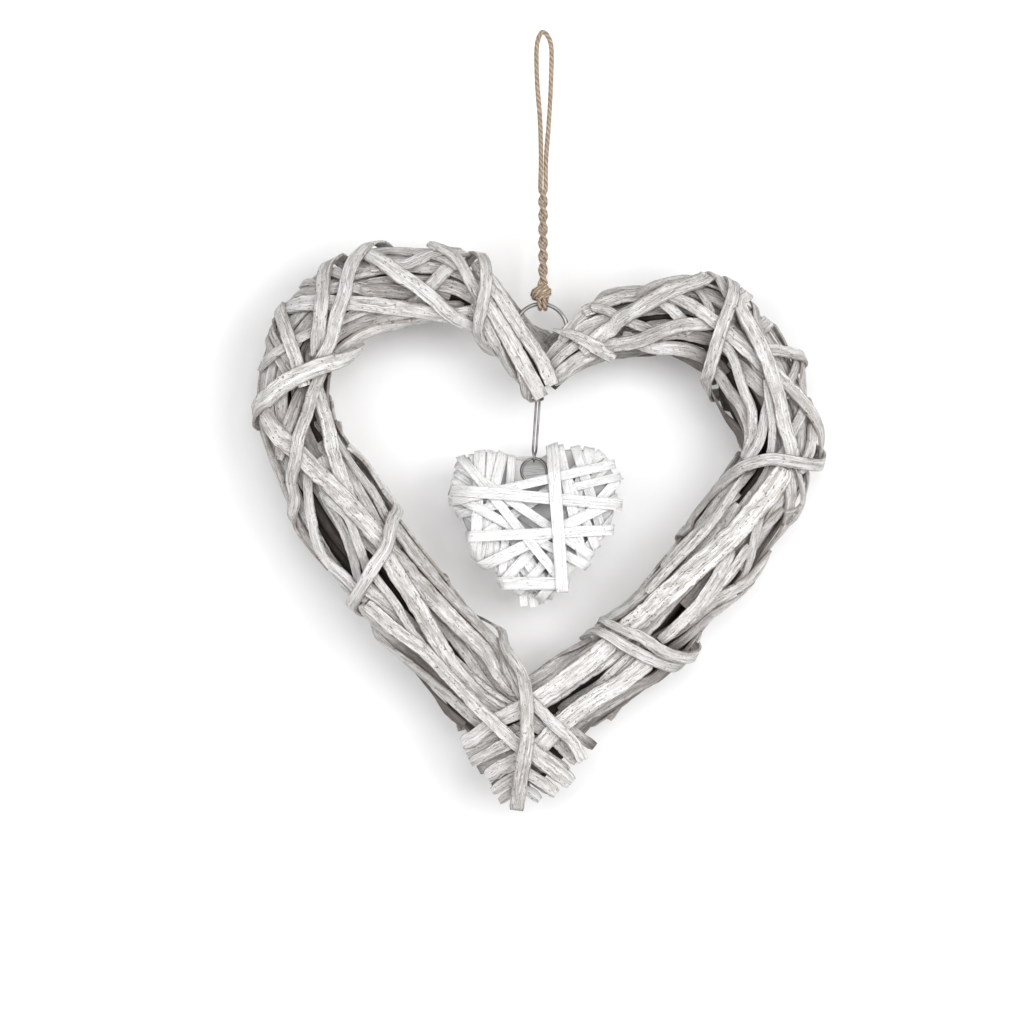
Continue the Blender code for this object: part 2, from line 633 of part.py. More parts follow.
def taut_loop(points, count):
    """Points and outward directions of a band drawn taut round the given points."""
    points = sorted(points)
    hull = []
    for chain in (points, points[::-1]):
        part = []
        for p in chain:
            while len(part) > 1 and np.cross(np.subtract(part[-1], part[-2]), np.subtract(p, part[-2])) <= 0:
                part.pop()
            part.append(p)
        hull += part[:-1]
    hull = np.array([*hull, hull[0]])
    run = run_along(hull)
    fine = read_at(np.arange(0, run[-1], SMALL_HEART_DEPTH / 16), run, hull)
    for _ in range(4):
        fine = (np.roll(fine, 1, axis=0) + 2 * fine + np.roll(fine, -1, axis=0)) / 4
    ahead = unit(np.roll(fine, -1, axis=0) - np.roll(fine, 1, axis=0))
    out = np.stack([ahead[:, 1], -ahead[:, 0]], axis=1)
    pace = run_along(fine) / STRIP_STATION + run_along(out) / STRIP_BEND
    even = np.linspace(0, pace[-1], count + 1)[:-1]
    return read_at(even, pace, fine), unit(read_at(even, pace, out))


def loop_route():
    """The twine's middle: up one strand of the twist, round the open loop, and down the other strand."""
    top = across(TWIST_START_MARK)
    foot = across(TWIST_END_MARK)
    apart = (TWINE + GAP) / 2
    share = np.linspace(0, 1, TWIST_STATIONS)
    angle = share * TWIST_TURNS * 2 * math.pi
    middle = top + (foot - top) * share[:, None]
    strands = []
    for side in (-1, 1):
        aside = side * apart * np.cos(angle)
        behind = side * apart * np.sin(angle)
        strands.append(np.stack([middle[:, 0] + aside, behind, middle[:, 1]], axis=1))
    marks = (*OPEN_LOOP[::-1], LOOP_TOP_MARK, *OPEN_LOOP_RIGHT)
    open_part = [(x, 0.0, z) for x, z in (across(m) for m in marks)]
    route = np.vstack([strands[0][::-1], open_part, strands[1]])
    return smooth_through(route, 1.0)


def build_loop(material, parent):
    """The jute loop, a curve with a round section."""
    route = thinned(loop_route(), LOOP_STATIONS)
    curve = bpy.data.curves.new("jute_loop", "CURVE")
    curve.dimensions = "3D"
    curve.bevel_depth = TWINE / 2
    curve.bevel_resolution = 2
    curve.use_fill_caps = True
    spline = curve.splines.new("POLY")
    spline.points.add(len(route) - 1)
    for point, place in zip(spline.points, route):
        point.co = (*place, 1)
    curve.materials.append(material)
    piece = bpy.data.objects.new("jute_loop", curve)
    bpy.context.scene.collection.objects.link(piece)
    piece.parent = parent


def thinned(route, count):
    """The route with a set number of points, evenly spaced."""
    run = run_along(route)
    return read_at(np.linspace(0, run[-1], count), run, route)


def build_knot(material, parent):
    """The knot: a lump of three turns of twine, and the turn that holds it on the ring."""
    top = across(TWIST_END_MARK)
    foot = across(RING_MARK)
    ring_top = across(RING_MARK)[1] + RING_DIAMETER / 2
    turn_radius = RING_WIRE / 2 + TWINE / 2 + 2 * GAP
    low = ring_top + RING_WIRE / 2 + 2 * GAP
    high = top[1] - TWINE / 2 - GAP
    turns = 3
    share = np.linspace(0, 1, KNOT_STATIONS)
    swell = KNOT_DIAMETER / 2 * (0.5 + 0.5 * np.sin(math.pi * (0.12 + 0.8 * share)) ** 0.6)
    swell = swell * (1 - 0.14 * np.abs(np.cos(math.pi * turns * share)))
    angles = np.arange(KNOT_SIDES) * 2 * math.pi / KNOT_SIDES
    sections = [
        [(foot[0] + r * math.cos(a), 0.8 * r * math.sin(a), high + (low - high) * s) for a in angles]
        for r, s in zip(swell, share)
    ]
    knot = add_object("jute_knot", swept(np.array(sections)), material, parent)
    angles = np.arange(KNOT_TURN_STATIONS) * 2 * math.pi / KNOT_TURN_STATIONS
    behind = turn_radius * np.sin(angles)
    upward = ring_top + turn_radius * np.cos(angles)
    holder = np.stack([np.full(KNOT_TURN_STATIONS, foot[0]), behind, upward], axis=1)
    holder_sections = round_sections(holder, TWINE / 2, KNOT_TURN_SIDES, np.array((1.0, 0.0, 0.0)))
    holder_piece = add_object("ring_turn_guide", swept(holder_sections, closed=True), material, parent)
    holder_piece.hide_render = True
    holder_piece.display_type = "WIRE"
    join = knot.modifiers.new("turn on the ring", "BOOLEAN")
    join.operation = "UNION"
    join.object = holder_piece


def main():
    """Build the wreath under one root."""
    for old in list(bpy.data.objects):
        bpy.data.objects.remove(old, do_unlink=True)
    willow = plain_material("whitewashed_willow", (0.61, 0.57, 0.54), 0.75)
    inner_willow = plain_material("bare_willow_rods", (0.34, 0.29, 0.26), 0.85)
    white = plain_material("white_willow", (0.90, 0.89, 0.88), 0.7)
    jute = plain_material("jute", (0.42, 0.29, 0.19), 0.95)
    wire = plain_material("zinc_wire", (0.55, 0.55, 0.56), 0.35, 1.0)
    root = bpy.data.objects.new("heart_wreath", None)
    bpy.context.scene.collection.objects.link(root)
    pile = Pile()
    build_bundles(pile, inner_willow, root)
    build_wires(pile, wire, root)
    build_strips(pile, willow, root)
    small_pile = Pile()
    build_small_heart(small_pile, white, root)
    build_loop(jute, root)
    build_knot(jute, root)


main()
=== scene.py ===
"""A heart wreath wound from whitewashed split willow, with a small white heart inside it, hung by jute twine.

The strips are laid in the order in which the maker wound them. Each one is read from the front as a few
marks, found on the bundle of rods that it belongs to, and let down until it rests on what lies under it.
Places across the front are marks (right, down) in steps of STEP, as in the part's own source.
"""

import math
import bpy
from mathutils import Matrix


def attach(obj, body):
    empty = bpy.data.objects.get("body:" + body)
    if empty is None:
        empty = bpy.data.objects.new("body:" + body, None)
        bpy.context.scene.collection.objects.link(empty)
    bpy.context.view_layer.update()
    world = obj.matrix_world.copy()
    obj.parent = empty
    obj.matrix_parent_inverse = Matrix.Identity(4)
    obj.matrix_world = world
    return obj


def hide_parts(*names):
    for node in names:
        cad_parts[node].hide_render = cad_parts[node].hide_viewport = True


bl_info = {
    "name": "Willow heart wreath",
    "version": (1, 0, 0),
    "blender": (4, 5, 0),
    "location": "3D View > Sidebar > Wreath",
    "description": "Lays the strips, twine and wire of a wound willow heart on its frame",
    "category": "Object",
}

import bmesh
import bpy
import numpy as np
from bpy.props import FloatProperty, FloatVectorProperty, IntProperty, PointerProperty
from mathutils import Matrix, Vector
from mathutils.bvhtree import BVHTree

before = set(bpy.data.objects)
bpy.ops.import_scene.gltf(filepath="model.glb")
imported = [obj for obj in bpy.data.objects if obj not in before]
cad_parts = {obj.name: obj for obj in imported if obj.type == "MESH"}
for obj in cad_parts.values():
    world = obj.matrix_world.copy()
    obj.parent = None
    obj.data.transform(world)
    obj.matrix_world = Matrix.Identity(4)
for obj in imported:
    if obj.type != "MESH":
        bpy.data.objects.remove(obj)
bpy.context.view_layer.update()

# The frame's own sizes, in metres, as the part's source has them

HEART_WIDTH = 0.280
BUNDLE_DEPTH = 0.025
CROSSING_DEPTH = 0.007
COVER = 0.0045
RING_DIAMETER = 0.0255
RING_WIRE = 0.0020
LINK_WIRE = 0.0011
SMALL_RING_WIRE = 0.0012
SMALL_HOLE_WIDTH = 0.0140
SMALL_HEART_DEPTH = 0.009
TWINE = 0.0023
KNOT_FULLNESS = 0.0108
GAP = 0.0003
MM = 0.001

# Marks on the front

MARK_WIDTH = 572
HANGING_MARK = (543, 35)
RING_MARK = (541, 330)
TIP_MARK = (523, 740)
SMALL_RING_MARK = (534, 471)
STEP = HEART_WIDTH / MARK_WIDTH
SMALL_RING_DIAMETER = SMALL_HOLE_WIDTH - SMALL_RING_WIRE - 2 * GAP

# The bundles' middles, from the cleft round to the tip: right, down, half the width with its strips

LEFT_MIDDLE = (
    (543, 388, 12), (525, 358, 16), (501, 325, 23), (480, 302, 30), (450, 289, 33), (420, 286, 37),
    (388, 288, 42), (353, 302, 45), (321, 330, 45), (302, 359, 43), (294, 395, 41), (300, 430, 38),
    (312, 460, 40), (330, 491, 44), (350, 524, 46), (390, 577, 46), (440, 644, 46), (485, 703, 44),
    (523, 741, 42), (556, 772, 38),
)
RIGHT_MIDDLE = (
    (548, 384, 14), (570, 352, 26), (601, 332, 33), (637, 326, 41), (688, 324, 47), (733, 350, 47),
    (758, 394, 49), (775, 433, 47), (772, 466, 43), (752, 502, 44), (715, 555, 44), (681, 600, 46),
    (650, 640, 46), (606, 678, 43), (562, 710, 42), (523, 741, 42), (488, 768, 38),
)

# The strips of each part of the heart in the order of winding: width in millimetres, marks along the
# middle, and how far each end is carried on round the bundle, in degrees

LEFT_LOBE = (
    (7, ((350, 290), (395, 293), (440, 300)), (0, 0)),
    (4, ((263, 333), (275, 353), (290, 375)), (20, 0)),
    (4, ((271, 328), (282, 350), (296, 372)), (20, 0)),
    (7, ((350, 350), (385, 328), (412, 308), (430, 288), (448, 270)), (30, 40)),
    (4, ((376, 340), (400, 325), (428, 320)), (20, 0)),
    (8, ((322, 352), (343, 336), (370, 323), (405, 315), (452, 312)), (0, 0)),
    (7.5, ((332, 366), (350, 347), (376, 331), (408, 322), (455, 318)), (0, 0)),
    (5, ((264, 365), (280, 353), (300, 341), (345, 322), (372, 312)), (20, 0)),
    (6, ((301, 273), (323, 272), (345, 276)), (0, 0)),
    (4, ((304, 284), (322, 285), (340, 288)), (0, 0)),
    (5, ((288, 299), (320, 293), (352, 290)), (30, 0)),
    (8, ((275, 312), (300, 306), (350, 307), (400, 308), (450, 313), (478, 318)), (40, 0)),
    (4, ((372, 252), (392, 247), (410, 250), (452, 260)), (0, 0)),
    (5, ((380, 254), (425, 261), (448, 268)), (0, 0)),
    (6, ((385, 268), (410, 270), (445, 262), (462, 262)), (0, 20)),
    (6, ((436, 261), (455, 270), (475, 292), (486, 314)), (0, 0)),
    (7.5, ((366, 257), (395, 275), (420, 290), (445, 306), (465, 322), (478, 332)), (60, 60)),
    (7.5, ((333, 260), (327, 290), (324, 320), (321, 348)), (140, 0)),
    (7, ((378, 248), (360, 263), (350, 281), (345, 300), (338, 320), (330, 345), (322, 364)), (150, 0)),
    (7, ((284, 318), (290, 335), (298, 358), (304, 377)), (30, 0)),
    (8.5, ((259, 407), (275, 395), (300, 379), (320, 367), (340, 358), (359, 351)), (110, 0)),
    (6.5, ((471, 258), (482, 280), (483, 310), (484, 335), (490, 360)), (140, 120)),
)
CLEFT = (
    (8, ((500, 332), (512, 358), (520, 380), (524, 392)), (0, 0)),
    (6, ((508, 340), (520, 362), (528, 382), (533, 398)), (0, 0)),
    (6, ((478, 312), (488, 330), (500, 347), (514, 368)), (0, 0)),
    (4.5, ((484, 268), (498, 284), (508, 302), (516, 320)), (0, 0)),
)
CLEFT_ENDS = (
    (7.5, ((478, 288), (496, 319), (513, 349), (528, 375), (541, 399)), (0, 0)),
    (7, ((475, 264), (489, 285), (505, 308), (522, 334), (540, 361), (553, 386)), (0, 0)),
)
LEFT_ARM = (
    (4, ((265, 428), (280, 450), (292, 472)), (20, 0)),
    (6, ((306, 392), (292, 422), (283, 450)), (0, 0)),
    (6, ((320, 396), (328, 424), (340, 452), (356, 482), (373, 510), (392, 540)), (0, 0)),
    (5, ((330, 428), (342, 450), (356, 470), (376, 494), (402, 535)), (0, 0)),
    (7.5, ((316, 360), (321, 390), (327, 425), (337, 462), (352, 500), (364, 524)), (0, 0)),
    (5.5, ((268, 440), (278, 465), (288, 495), (299, 525), (321, 553), (346, 583), (362, 606)), (0, 0)),
    (4.5, ((328, 500), (342, 525), (352, 552), (358, 580), (366, 602)), (0, 0)),
    (4.5, ((335, 505), (350, 520), (362, 550), (368, 570), (378, 594)), (0, 0)),
    (5, ((310, 470), (309, 500), (314, 530), (326, 555), (345, 575), (362, 592)), (0, 0)),
    (9, ((266, 414), (282, 433), (303, 455), (345, 498), (382, 538), (430, 592), (460, 624), (490, 655),
         (513, 682)), (20, 0)),
    (6.5, ((320, 380), (310, 410), (303, 435), (298, 460), (296, 480), (297, 500), (300, 530), (316, 566)),
     (0, 0)),
    (7, ((372, 590), (400, 615), (425, 642), (450, 668)), (0, 0)),
    (7.5, ((430, 641), (455, 663), (480, 682), (508, 702)), (0, 0)),
    (4, ((375, 575), (395, 600), (410, 625), (430, 650)), (0, 0)),
    (7, ((400, 530), (424, 562), (453, 598), (477, 626), (496, 650), (510, 672), (521, 690)), (0, 0)),
    (4.5, ((362, 632), (390, 662), (420, 695), (451, 722)), (0, 0)),
    (6, ((370, 610), (390, 640), (420, 665), (450, 690), (478, 710), (494, 724)), (0, 0)),
    (6, ((375, 632), (405, 662), (440, 692), (472, 720)), (0, 0)),
    (8.5, ((388, 556), (415, 598), (435, 633), (455, 665), (480, 694), (502, 709)), (0, 0)),
)
LEFT_TIE = (
    (6.5, ((354, 454), (375, 468), (390, 487), (394, 506), (392, 524), (386, 545), (374, 568), (361, 592),
           (352, 613)), (0, 170)),
)
RIGHT_AT_CLEFT = (
    (6, ((553, 352), (567, 337), (580, 328)), (0, 0)),
    (6, ((570, 330), (590, 308), (610, 298)), (0, 0)),
    (6.5, ((598, 306), (625, 298), (654, 293)), (0, 0)),
    (4, ((588, 301), (605, 295), (640, 288)), (0, 0)),
    (5, ((552, 368), (566, 352), (588, 334)), (0, 0)),
    (7, ((585, 328), (600, 322), (625, 315), (655, 302)), (0, 0)),
    (6, ((560, 376), (584, 366), (612, 360), (650, 355), (680, 365), (702, 384)), (0, 0)),
)
RIGHT_LOBE = (
    (5, ((600, 310), (622, 317), (645, 328)), (0, 0)),
    (6, ((640, 343), (660, 338), (690, 338), (712, 343)), (0, 0)),
    (7, ((640, 343), (660, 350), (698, 362), (714, 373)), (0, 0)),
    (6, ((660, 303), (684, 326)), (0, 0)),
    (7, ((560, 373), (578, 362), (600, 352), (630, 343), (665, 331), (700, 325), (724, 322)), (0, 0)),
    (4, ((700, 294), (708, 316)), (0, 0)),
    (6.5, ((674, 302), (695, 313), (715, 326), (735, 342), (757, 362)), (0, 0)),
    (5, ((650, 292), (675, 283), (700, 279)), (0, 0)),
    (8, ((588, 345), (612, 329), (630, 318), (660, 303), (690, 289), (707, 281)), (0, 100)),
    (6, ((712, 279), (722, 290), (731, 302), (745, 318)), (40, 0)),
    (7, ((735, 368), (750, 380), (772, 397)), (0, 0)),
    (6, ((705, 395), (715, 418), (730, 435), (739, 454)), (0, 0)),
    (5, ((722, 395), (733, 416), (743, 442)), (0, 0)),
    (6, ((708, 372), (722, 390), (738, 412), (745, 445)), (0, 0)),
    (5, ((727, 352), (738, 385), (747, 408), (749, 428), (743, 455)), (0, 0)),
    (7, ((778, 320), (792, 338), (802, 360)), (40, 40)),
    (4, ((733, 297), (743, 297), (752, 305), (757, 320), (761, 347)), (0, 0)),
    (5, ((806, 405), (793, 430), (785, 447)), (30, 0)),
    (7, ((816, 428), (803, 460)), (40, 0)),
    (5, ((796, 366), (788, 387)), (0, 0)),
    (4, ((798, 366), (801, 394)), (0, 0)),
    (5, ((768, 400), (760, 428), (755, 445), (749, 455)), (0, 0)),
    (4, ((764, 392), (768, 430), (767, 454)), (0, 0)),
    (6.5, ((768, 367), (785, 387), (805, 408), (819, 430), (824, 450)), (0, 90)),
    (6, ((802, 362), (785, 356), (769, 354)), (60, 0)),
    (7.5, ((735, 308), (752, 338), (764, 365), (773, 395), (781, 425), (788, 452)), (50, 0)),
    (6.5, ((727, 300), (722, 325), (714, 350), (707, 375), (703, 395)), (110, 130)),
)
POINTED_END = ((6.5, ((552, 331), (572, 336), (590, 345), (614, 360)), (0, 0)),)
RIGHT_ARM = (
    (5, ((728, 497), (708, 520), (688, 540), (668, 562)), (0, 0)),
    (5, ((766, 470), (757, 487), (750, 505), (733, 528)), (0, 0)),
    (4, ((776, 515), (762, 530), (755, 545), (744, 562)), (0, 0)),
    (4.5, ((756, 520), (750, 545), (744, 572), (736, 592)), (0, 0)),
    (6.5, ((783, 468), (788, 495), (785, 520), (778, 545), (766, 568), (750, 591)), (0, 0)),
    (3, ((809, 472), (808, 490), (802, 501), (790, 509)), (0, 0)),
    (2.5, ((797, 472), (798, 498), (789, 515)), (0, 0)),
    (7, ((765, 560), (745, 580), (715, 600), (690, 620), (660, 640)), (0, 0)),
    (5, ((740, 555), (725, 575), (712, 592), (693, 614)), (0, 0)),
    (5.5, ((724, 558), (712, 582), (698, 603), (688, 613), (668, 634)), (0, 0)),
    (5, ((750, 590), (730, 605), (705, 625), (680, 646)), (0, 0)),
    (4.5, ((745, 470), (735, 485), (718, 512), (698, 538), (678, 560), (655, 584)), (0, 0)),
    (11, ((776, 478), (757, 503), (735, 530), (708, 556), (680, 582), (650, 608), (622, 631)), (0, 0)),
    (6, ((583, 642), (556, 660), (534, 677)), (0, 0)),
    (5, ((683, 668), (670, 682), (650, 690), (625, 705), (600, 718), (584, 737)), (0, 0)),
    (6, ((672, 665), (655, 683), (635, 690), (600, 712), (574, 731)), (0, 0)),
    (6.5, ((635, 648), (615, 670), (595, 690), (568, 706)), (0, 0)),
)
RIGHT_SHOULDER_TIE = (
    (6, ((817, 463), (790, 461), (765, 461), (745, 467), (725, 478), (705, 496), (690, 515), (685, 527)),
     (130, 60)),
)
RIGHT_ARM_TIE = (
    (5.5, ((588, 638), (603, 635), (625, 645), (655, 659), (680, 668), (694, 670)), (0, 130)),
    (6, ((607, 628), (622, 630), (640, 636), (660, 650), (690, 660), (702, 660)), (0, 150)),
)
TIP_UNDERNEATH = (
    (7, ((540, 716), (505, 733), (466, 752)), (0, 0)),
    (7, ((540, 738), (510, 752), (478, 769)), (0, 0)),
    (6, ((545, 762), (515, 778), (493, 788)), (0, 0)),
    (7, ((515, 706), (550, 735), (578, 759)), (0, 0)),
    (7, ((510, 726), (540, 752), (566, 772)), (0, 0)),
    (6, ((500, 745), (530, 772), (550, 788)), (0, 0)),
)
TIP_LEFTWARD = (
    (10, ((648, 658), (620, 680), (590, 700), (560, 722), (540, 742), (516, 757), (500, 765), (486, 776)),
     (0, 0)),
    (9, ((612, 640), (585, 662), (555, 685), (530, 702), (497, 718), (478, 733), (463, 743)), (0, 0)),
    (7, ((530, 731), (495, 747), (470, 760)), (0, 0)),
    (6, ((528, 770), (510, 779), (492, 790)), (0, 0)),
    (5, ((530, 784), (513, 792), (499, 800)), (0, 0)),
)
TIP_RIGHTWARD = (
    (6.5, ((368, 603), (395, 627), (425, 650), (450, 675), (475, 700), (500, 725), (518, 742), (546, 764),
           (563, 776)), (0, 0)),
    (6, ((530, 697), (553, 722), (570, 738), (583, 759)), (0, 0)),
    (8, ((524, 742), (550, 763), (571, 781)), (0, 0)),
    (6, ((515, 760), (540, 780), (556, 792)), (0, 0)),
    (5, ((512, 778), (530, 790), (540, 799)), (0, 0)),
)
CUT_ROD_THICKNESS = 0.005
CUT_ROD_AT_TIP = ((5.5, ((556, 712), (575, 732), (594, 747)), (0, 0)),)
TIP_TIE_START = (((474, 609), 0.006), ((486, 624), 0.003), ((499, 641), -0.001), ((513, 660), -0.006))
TIP_TIE = ((522, 675), (527, 700), (526, 740), (521, 778), (517, 809))
TIP_TIE_WIDTH = 0.0070
TIP_TIE_SIDE = (0.75, 0.0, 0.66)
TIP_TIE_BEND = 0.035
FRONTWARD = (0.0, -1.0, 0.0)
EDGE_ROD_THICKNESS = 0.0038
ROD_AT_EDGE = ((7, ((672, 560), (651, 582), (629, 603), (606, 622)), (0, 0)),)

# The small heart's outline, from the notch clockwise, and the lines of its windings across the front

SMALL_HEART_OUTLINE = (
    (534, 458), (552, 448), (580, 445), (606, 454), (620, 478), (618, 510), (603, 540), (575, 572),
    (548, 592), (532, 598), (516, 590), (488, 566), (466, 538), (454, 508), (452, 482), (462, 460),
    (484, 451), (512, 454),
)
SMALL_WINDINGS = (
    (6, (456, 478), (545, 594)), (5, (453, 500), (560, 592)), (5, (458, 472), (590, 560)),
    (6, (464, 460), (548, 592)),
    (5.5, (474, 454), (520, 594)), (4, (484, 451), (500, 580)), (5.5, (493, 451), (486, 572)),
    (5, (503, 453), (478, 560)), (4, (512, 455), (502, 578)), (5, (612, 458), (505, 580)),
    (5, (603, 452), (470, 545)), (5.5, (590, 446), (548, 594)), (5, (575, 446), (604, 540)),
    (4.5, (619, 478), (520, 590)), (4.5, (617, 515), (545, 592)), (4, (456, 515), (621, 476)),
    (4.5, (560, 462), (600, 556)), (5, (561, 458), (584, 567)), (5.5, (480, 452), (476, 552)),
    (4.5, (457, 497), (575, 560)), (4.5, (466, 470), (590, 555)), (5.5, (485, 565), (606, 505)),
    (4.5, (500, 505), (565, 585)), (6.2, (498, 583), (568, 583)), (4.6, (458, 500), (618, 463)),
    (5.2, (458, 537), (608, 530)), (5.6, (453, 490), (622, 505)), (6, (552, 447), (561, 578)),
)
BEHIND_THE_RING = (((508, 462), (564, 466)), ((508, 477), (564, 476)))
SMALL_TIP_ENDS = (((522, 588), (524, 606)), ((532, 590), (534, 607)), ((541, 588), (545, 604)))

# The twine's route: down the right side, down the left side, and the twisted stretch

LOOP_TOP_MARK = (543, 32)
OPEN_LOOP = ((537, 45), (537, 80), (540, 120), (541, 160))
OPEN_LOOP_RIGHT = ((551, 45), (551, 80), (549, 120), (546, 160))
TWIST_START_MARK = (543, 188)
TWIST_END_MARK = (543, 284)
TWIST_TURNS = 3.5
TWIST_STATIONS = 22

# The camera's frame, in steps across and down, and how far away it stands

PICTURE_SIDE = 1024
CAMERA_DISTANCE = 1.6


class WreathSizes(bpy.types.PropertyGroup):
    """Sizes of the strips and rods"""

    strip_thickness: FloatProperty(
        name="Strip thickness", description="Thickness of a split willow strip", default=0.0013, unit="LENGTH"
    )
    small_strip_thickness: FloatProperty(
        name="White strip thickness", description="Thickness of a strip on the small heart", default=0.0009,
        unit="LENGTH",
    )
    rod_diameter: FloatProperty(
        name="Rod thickness", description="Thickness of the rods inside the bundles", default=0.0050,
        unit="LENGTH",
    )
    station: FloatProperty(
        name="Station", description="Length between two sections of a strip", default=0.0022, unit="LENGTH"
    )
    waver: FloatProperty(
        name="Waver", description="How far a strip wanders off its line", default=0.00030, unit="LENGTH"
    )
    seed: IntProperty(name="Seed", description="Start of the wreath's own random numbers", default=11)


class WreathColours(bpy.types.PropertyGroup):
    """Colours of the willow, the paint, the twine and the wire"""

    wash: FloatVectorProperty(
        name="Whitewash", description="Colour of the wash where it is thick", subtype="COLOR", size=3,
        default=(0.85, 0.835, 0.82),
    )
    wood: FloatVectorProperty(
        name="Grey willow", description="Colour of the willow where the wash is thin", subtype="COLOR",
        size=3, default=(0.38, 0.345, 0.32),
    )
    # This colour is also the painted shade deep in the pile and on the inner rods, besides the unwashed
    # grain.
    bare_and_shade: FloatVectorProperty(
        name="Bare willow", description="Colour of the willow that no wash reached", subtype="COLOR", size=3,
        default=(0.105, 0.085, 0.072),
    )
    white: FloatVectorProperty(
        name="White paint", description="Colour of the small heart", subtype="COLOR", size=3,
        default=(0.92, 0.918, 0.91),
    )
    jute: FloatVectorProperty(
        name="Jute", description="Colour of the twine's lit fibres", subtype="COLOR", size=3,
        default=(0.60, 0.465, 0.345),
    )
    wire: FloatVectorProperty(
        name="Wire", description="Colour of the zinc-coated wire", subtype="COLOR", size=3,
        default=(0.56, 0.545, 0.53),
    )


def across(mark):
    """The x and z of a mark on the front."""
    return np.array(((mark[0] - HANGING_MARK[0]) * STEP, (HANGING_MARK[1] - mark[1]) * STEP))


def smooth_through(marks, step):
    """Points about step apart on a smooth curve through the given points."""
    marks = np.array(marks, float)
    marks = np.vstack([2 * marks[0] - marks[1], marks, 2 * marks[-1] - marks[-2]])
    points = []
    for a, b, c, d in zip(marks, marks[1:], marks[2:], marks[3:]):
        count = max(2, math.ceil(np.linalg.norm(c - b) / step))
        for t in np.arange(count) / count:
            bow = (2 * a - 5 * b + 4 * c - d) * t**2 + (3 * b - a - 3 * c + d) * t**3
            points.append(0.5 * (2 * b + (c - a) * t + bow))
    return np.array([*points, marks[-2]])


def unit(vectors):
    """The vectors, each with a length of one."""
    return vectors / np.maximum(np.linalg.norm(vectors, axis=-1, keepdims=True), 1e-9)


def eased(share):
    """A share from 0 to 1 that leaves and arrives gently."""
    share = np.clip(share, 0, 1)
    return share * share * (3 - 2 * share)


def run_along(points):
    """The distance run along the points up to each of them."""
    return np.concatenate([[0], np.cumsum(np.linalg.norm(np.diff(points, axis=0), axis=1))])


def read_at(places, pace, values):
    """The rows of values read at places along their pace."""
    return np.stack([np.interp(places, pace, column) for column in values.T], axis=1)


class Bundle:
    """One half of the heart: rods bent along a middle line, oval in section, thin where the halves cross."""

    RELAX = 0.026
    BEYOND = 0.014
    LINE_STEP = 0.002
    ROD_STEP = 0.003
    TIP_REACH = 62 * STEP
    FULL_COVER = 25 * STEP
    ROD_RELIEF = 0.07

    def __init__(self, marks, inner_side, depth_side):
        line = smooth_through([(*across(m[:2]), m[2] * STEP) for m in marks], self.LINE_STEP)
        line = self.carried_straight_on(line)
        self.middle = line[:, :2]
        self.half = line[:, 2]
        self.run = run_along(self.middle)
        along = unit(np.gradient(self.middle, axis=0))
        self.inward = inner_side * np.stack([along[:, 1], -along[:, 0]], axis=1)
        from_ring = self.off(RING_MARK)
        ring_reach = (RING_DIAMETER + RING_WIRE) / 2 + self.half
        at_ring = 1 - eased((from_ring - ring_reach) / self.RELAX)
        at_ring[: np.argmin(from_ring)] = 1
        at_tip = 1 - eased((self.off(TIP_MARK) - self.TIP_REACH) / self.RELAX)
        thin = np.maximum(at_ring, at_tip)
        self.wide = self.half - COVER * np.clip(self.half / self.FULL_COVER, 0.5, 1)
        self.deep = (BUNDLE_DEPTH * (1 - thin) + CROSSING_DEPTH * thin) / 2
        slot = RING_WIRE / 2 + LINK_WIRE + 2 * GAP
        clear = CROSSING_DEPTH / 2 * (1 + self.ROD_RELIEF)
        self.shift = depth_side * (at_ring * (clear + slot) + at_tip * (clear + GAP))

    def carried_straight_on(self, line):
        """The line with a straight stretch at either end, where strips may stand out past the rods."""
        steps = np.arange(1, round(self.BEYOND / self.LINE_STEP) + 1)[:, None]
        before = line[0] + (line[0] - line[1]) * (1, 1, 0) * steps[::-1]
        after = line[-1] + (line[-1] - line[-2]) * (1, 1, 0) * steps
        self.first = run_along(np.vstack([before, line[:1]])[:, :2])[-1]
        line = np.vstack([before, line, after])
        self.last = run_along(line[:, :2])[-1] - self.first
        return line

    def off(self, mark):
        """How far each point of the middle line is from a mark."""
        return np.linalg.norm(self.middle - across(mark), axis=1)

    def surface(self, run, turn, proud=1.0):
        """Points on the rods and the directions out of them.

        A turn is 0 in front, and a quarter turn is at the inner edge.
        """
        run = np.clip(run, 0, self.run[-1])
        middle = read_at(run, self.run, self.middle)
        inward = unit(read_at(run, self.run, self.inward))
        wide = np.interp(run, self.run, self.wide) * proud
        deep = np.interp(run, self.run, self.deep) * proud
        shift = np.interp(run, self.run, self.shift)
        flat = middle + inward * (wide * np.sin(turn))[:, None]
        points = np.stack([flat[:, 0], shift - deep * np.cos(turn), flat[:, 1]], axis=1)
        lean = inward * (np.sin(turn) / wide)[:, None]
        return points, unit(np.stack([lean[:, 0], -np.cos(turn) / deep, lean[:, 1]], axis=1))

    def locate(self, place):
        """The run and the turn at which a place on the front lies."""
        nearest = int(np.argmin(np.linalg.norm(self.middle - place, axis=1)))
        offset = float(np.dot(place - self.middle[nearest], self.inward[nearest]))
        return self.run[nearest], math.asin(max(-1.0, min(1.0, offset / self.half[nearest])))

    def rod(self, turn, twist, depth_share):
        """The middle of one inner rod, which winds slowly round the bundle's own middle."""
        runs = np.arange(self.first, self.last, self.ROD_STEP)
        turns = turn + twist * (runs - self.first) / (self.last - self.first)
        return self.surface(runs, turns, depth_share)


LEFT = Bundle(LEFT_MIDDLE, inner_side=-1, depth_side=-1)
RIGHT = Bundle(RIGHT_MIDDLE, inner_side=1, depth_side=1)


# How a strip is carried on round its bundle past its marks: how far it may run on for each radian that it
# turns, from what turn on its own slant is kept, and the degrees between two points

STEEPEST_PITCH = 0.005
SLANTING_TURN = 0.8
CARRY_STEP = 45
BUNDLE_RADIUS = BUNDLE_DEPTH * 0.7


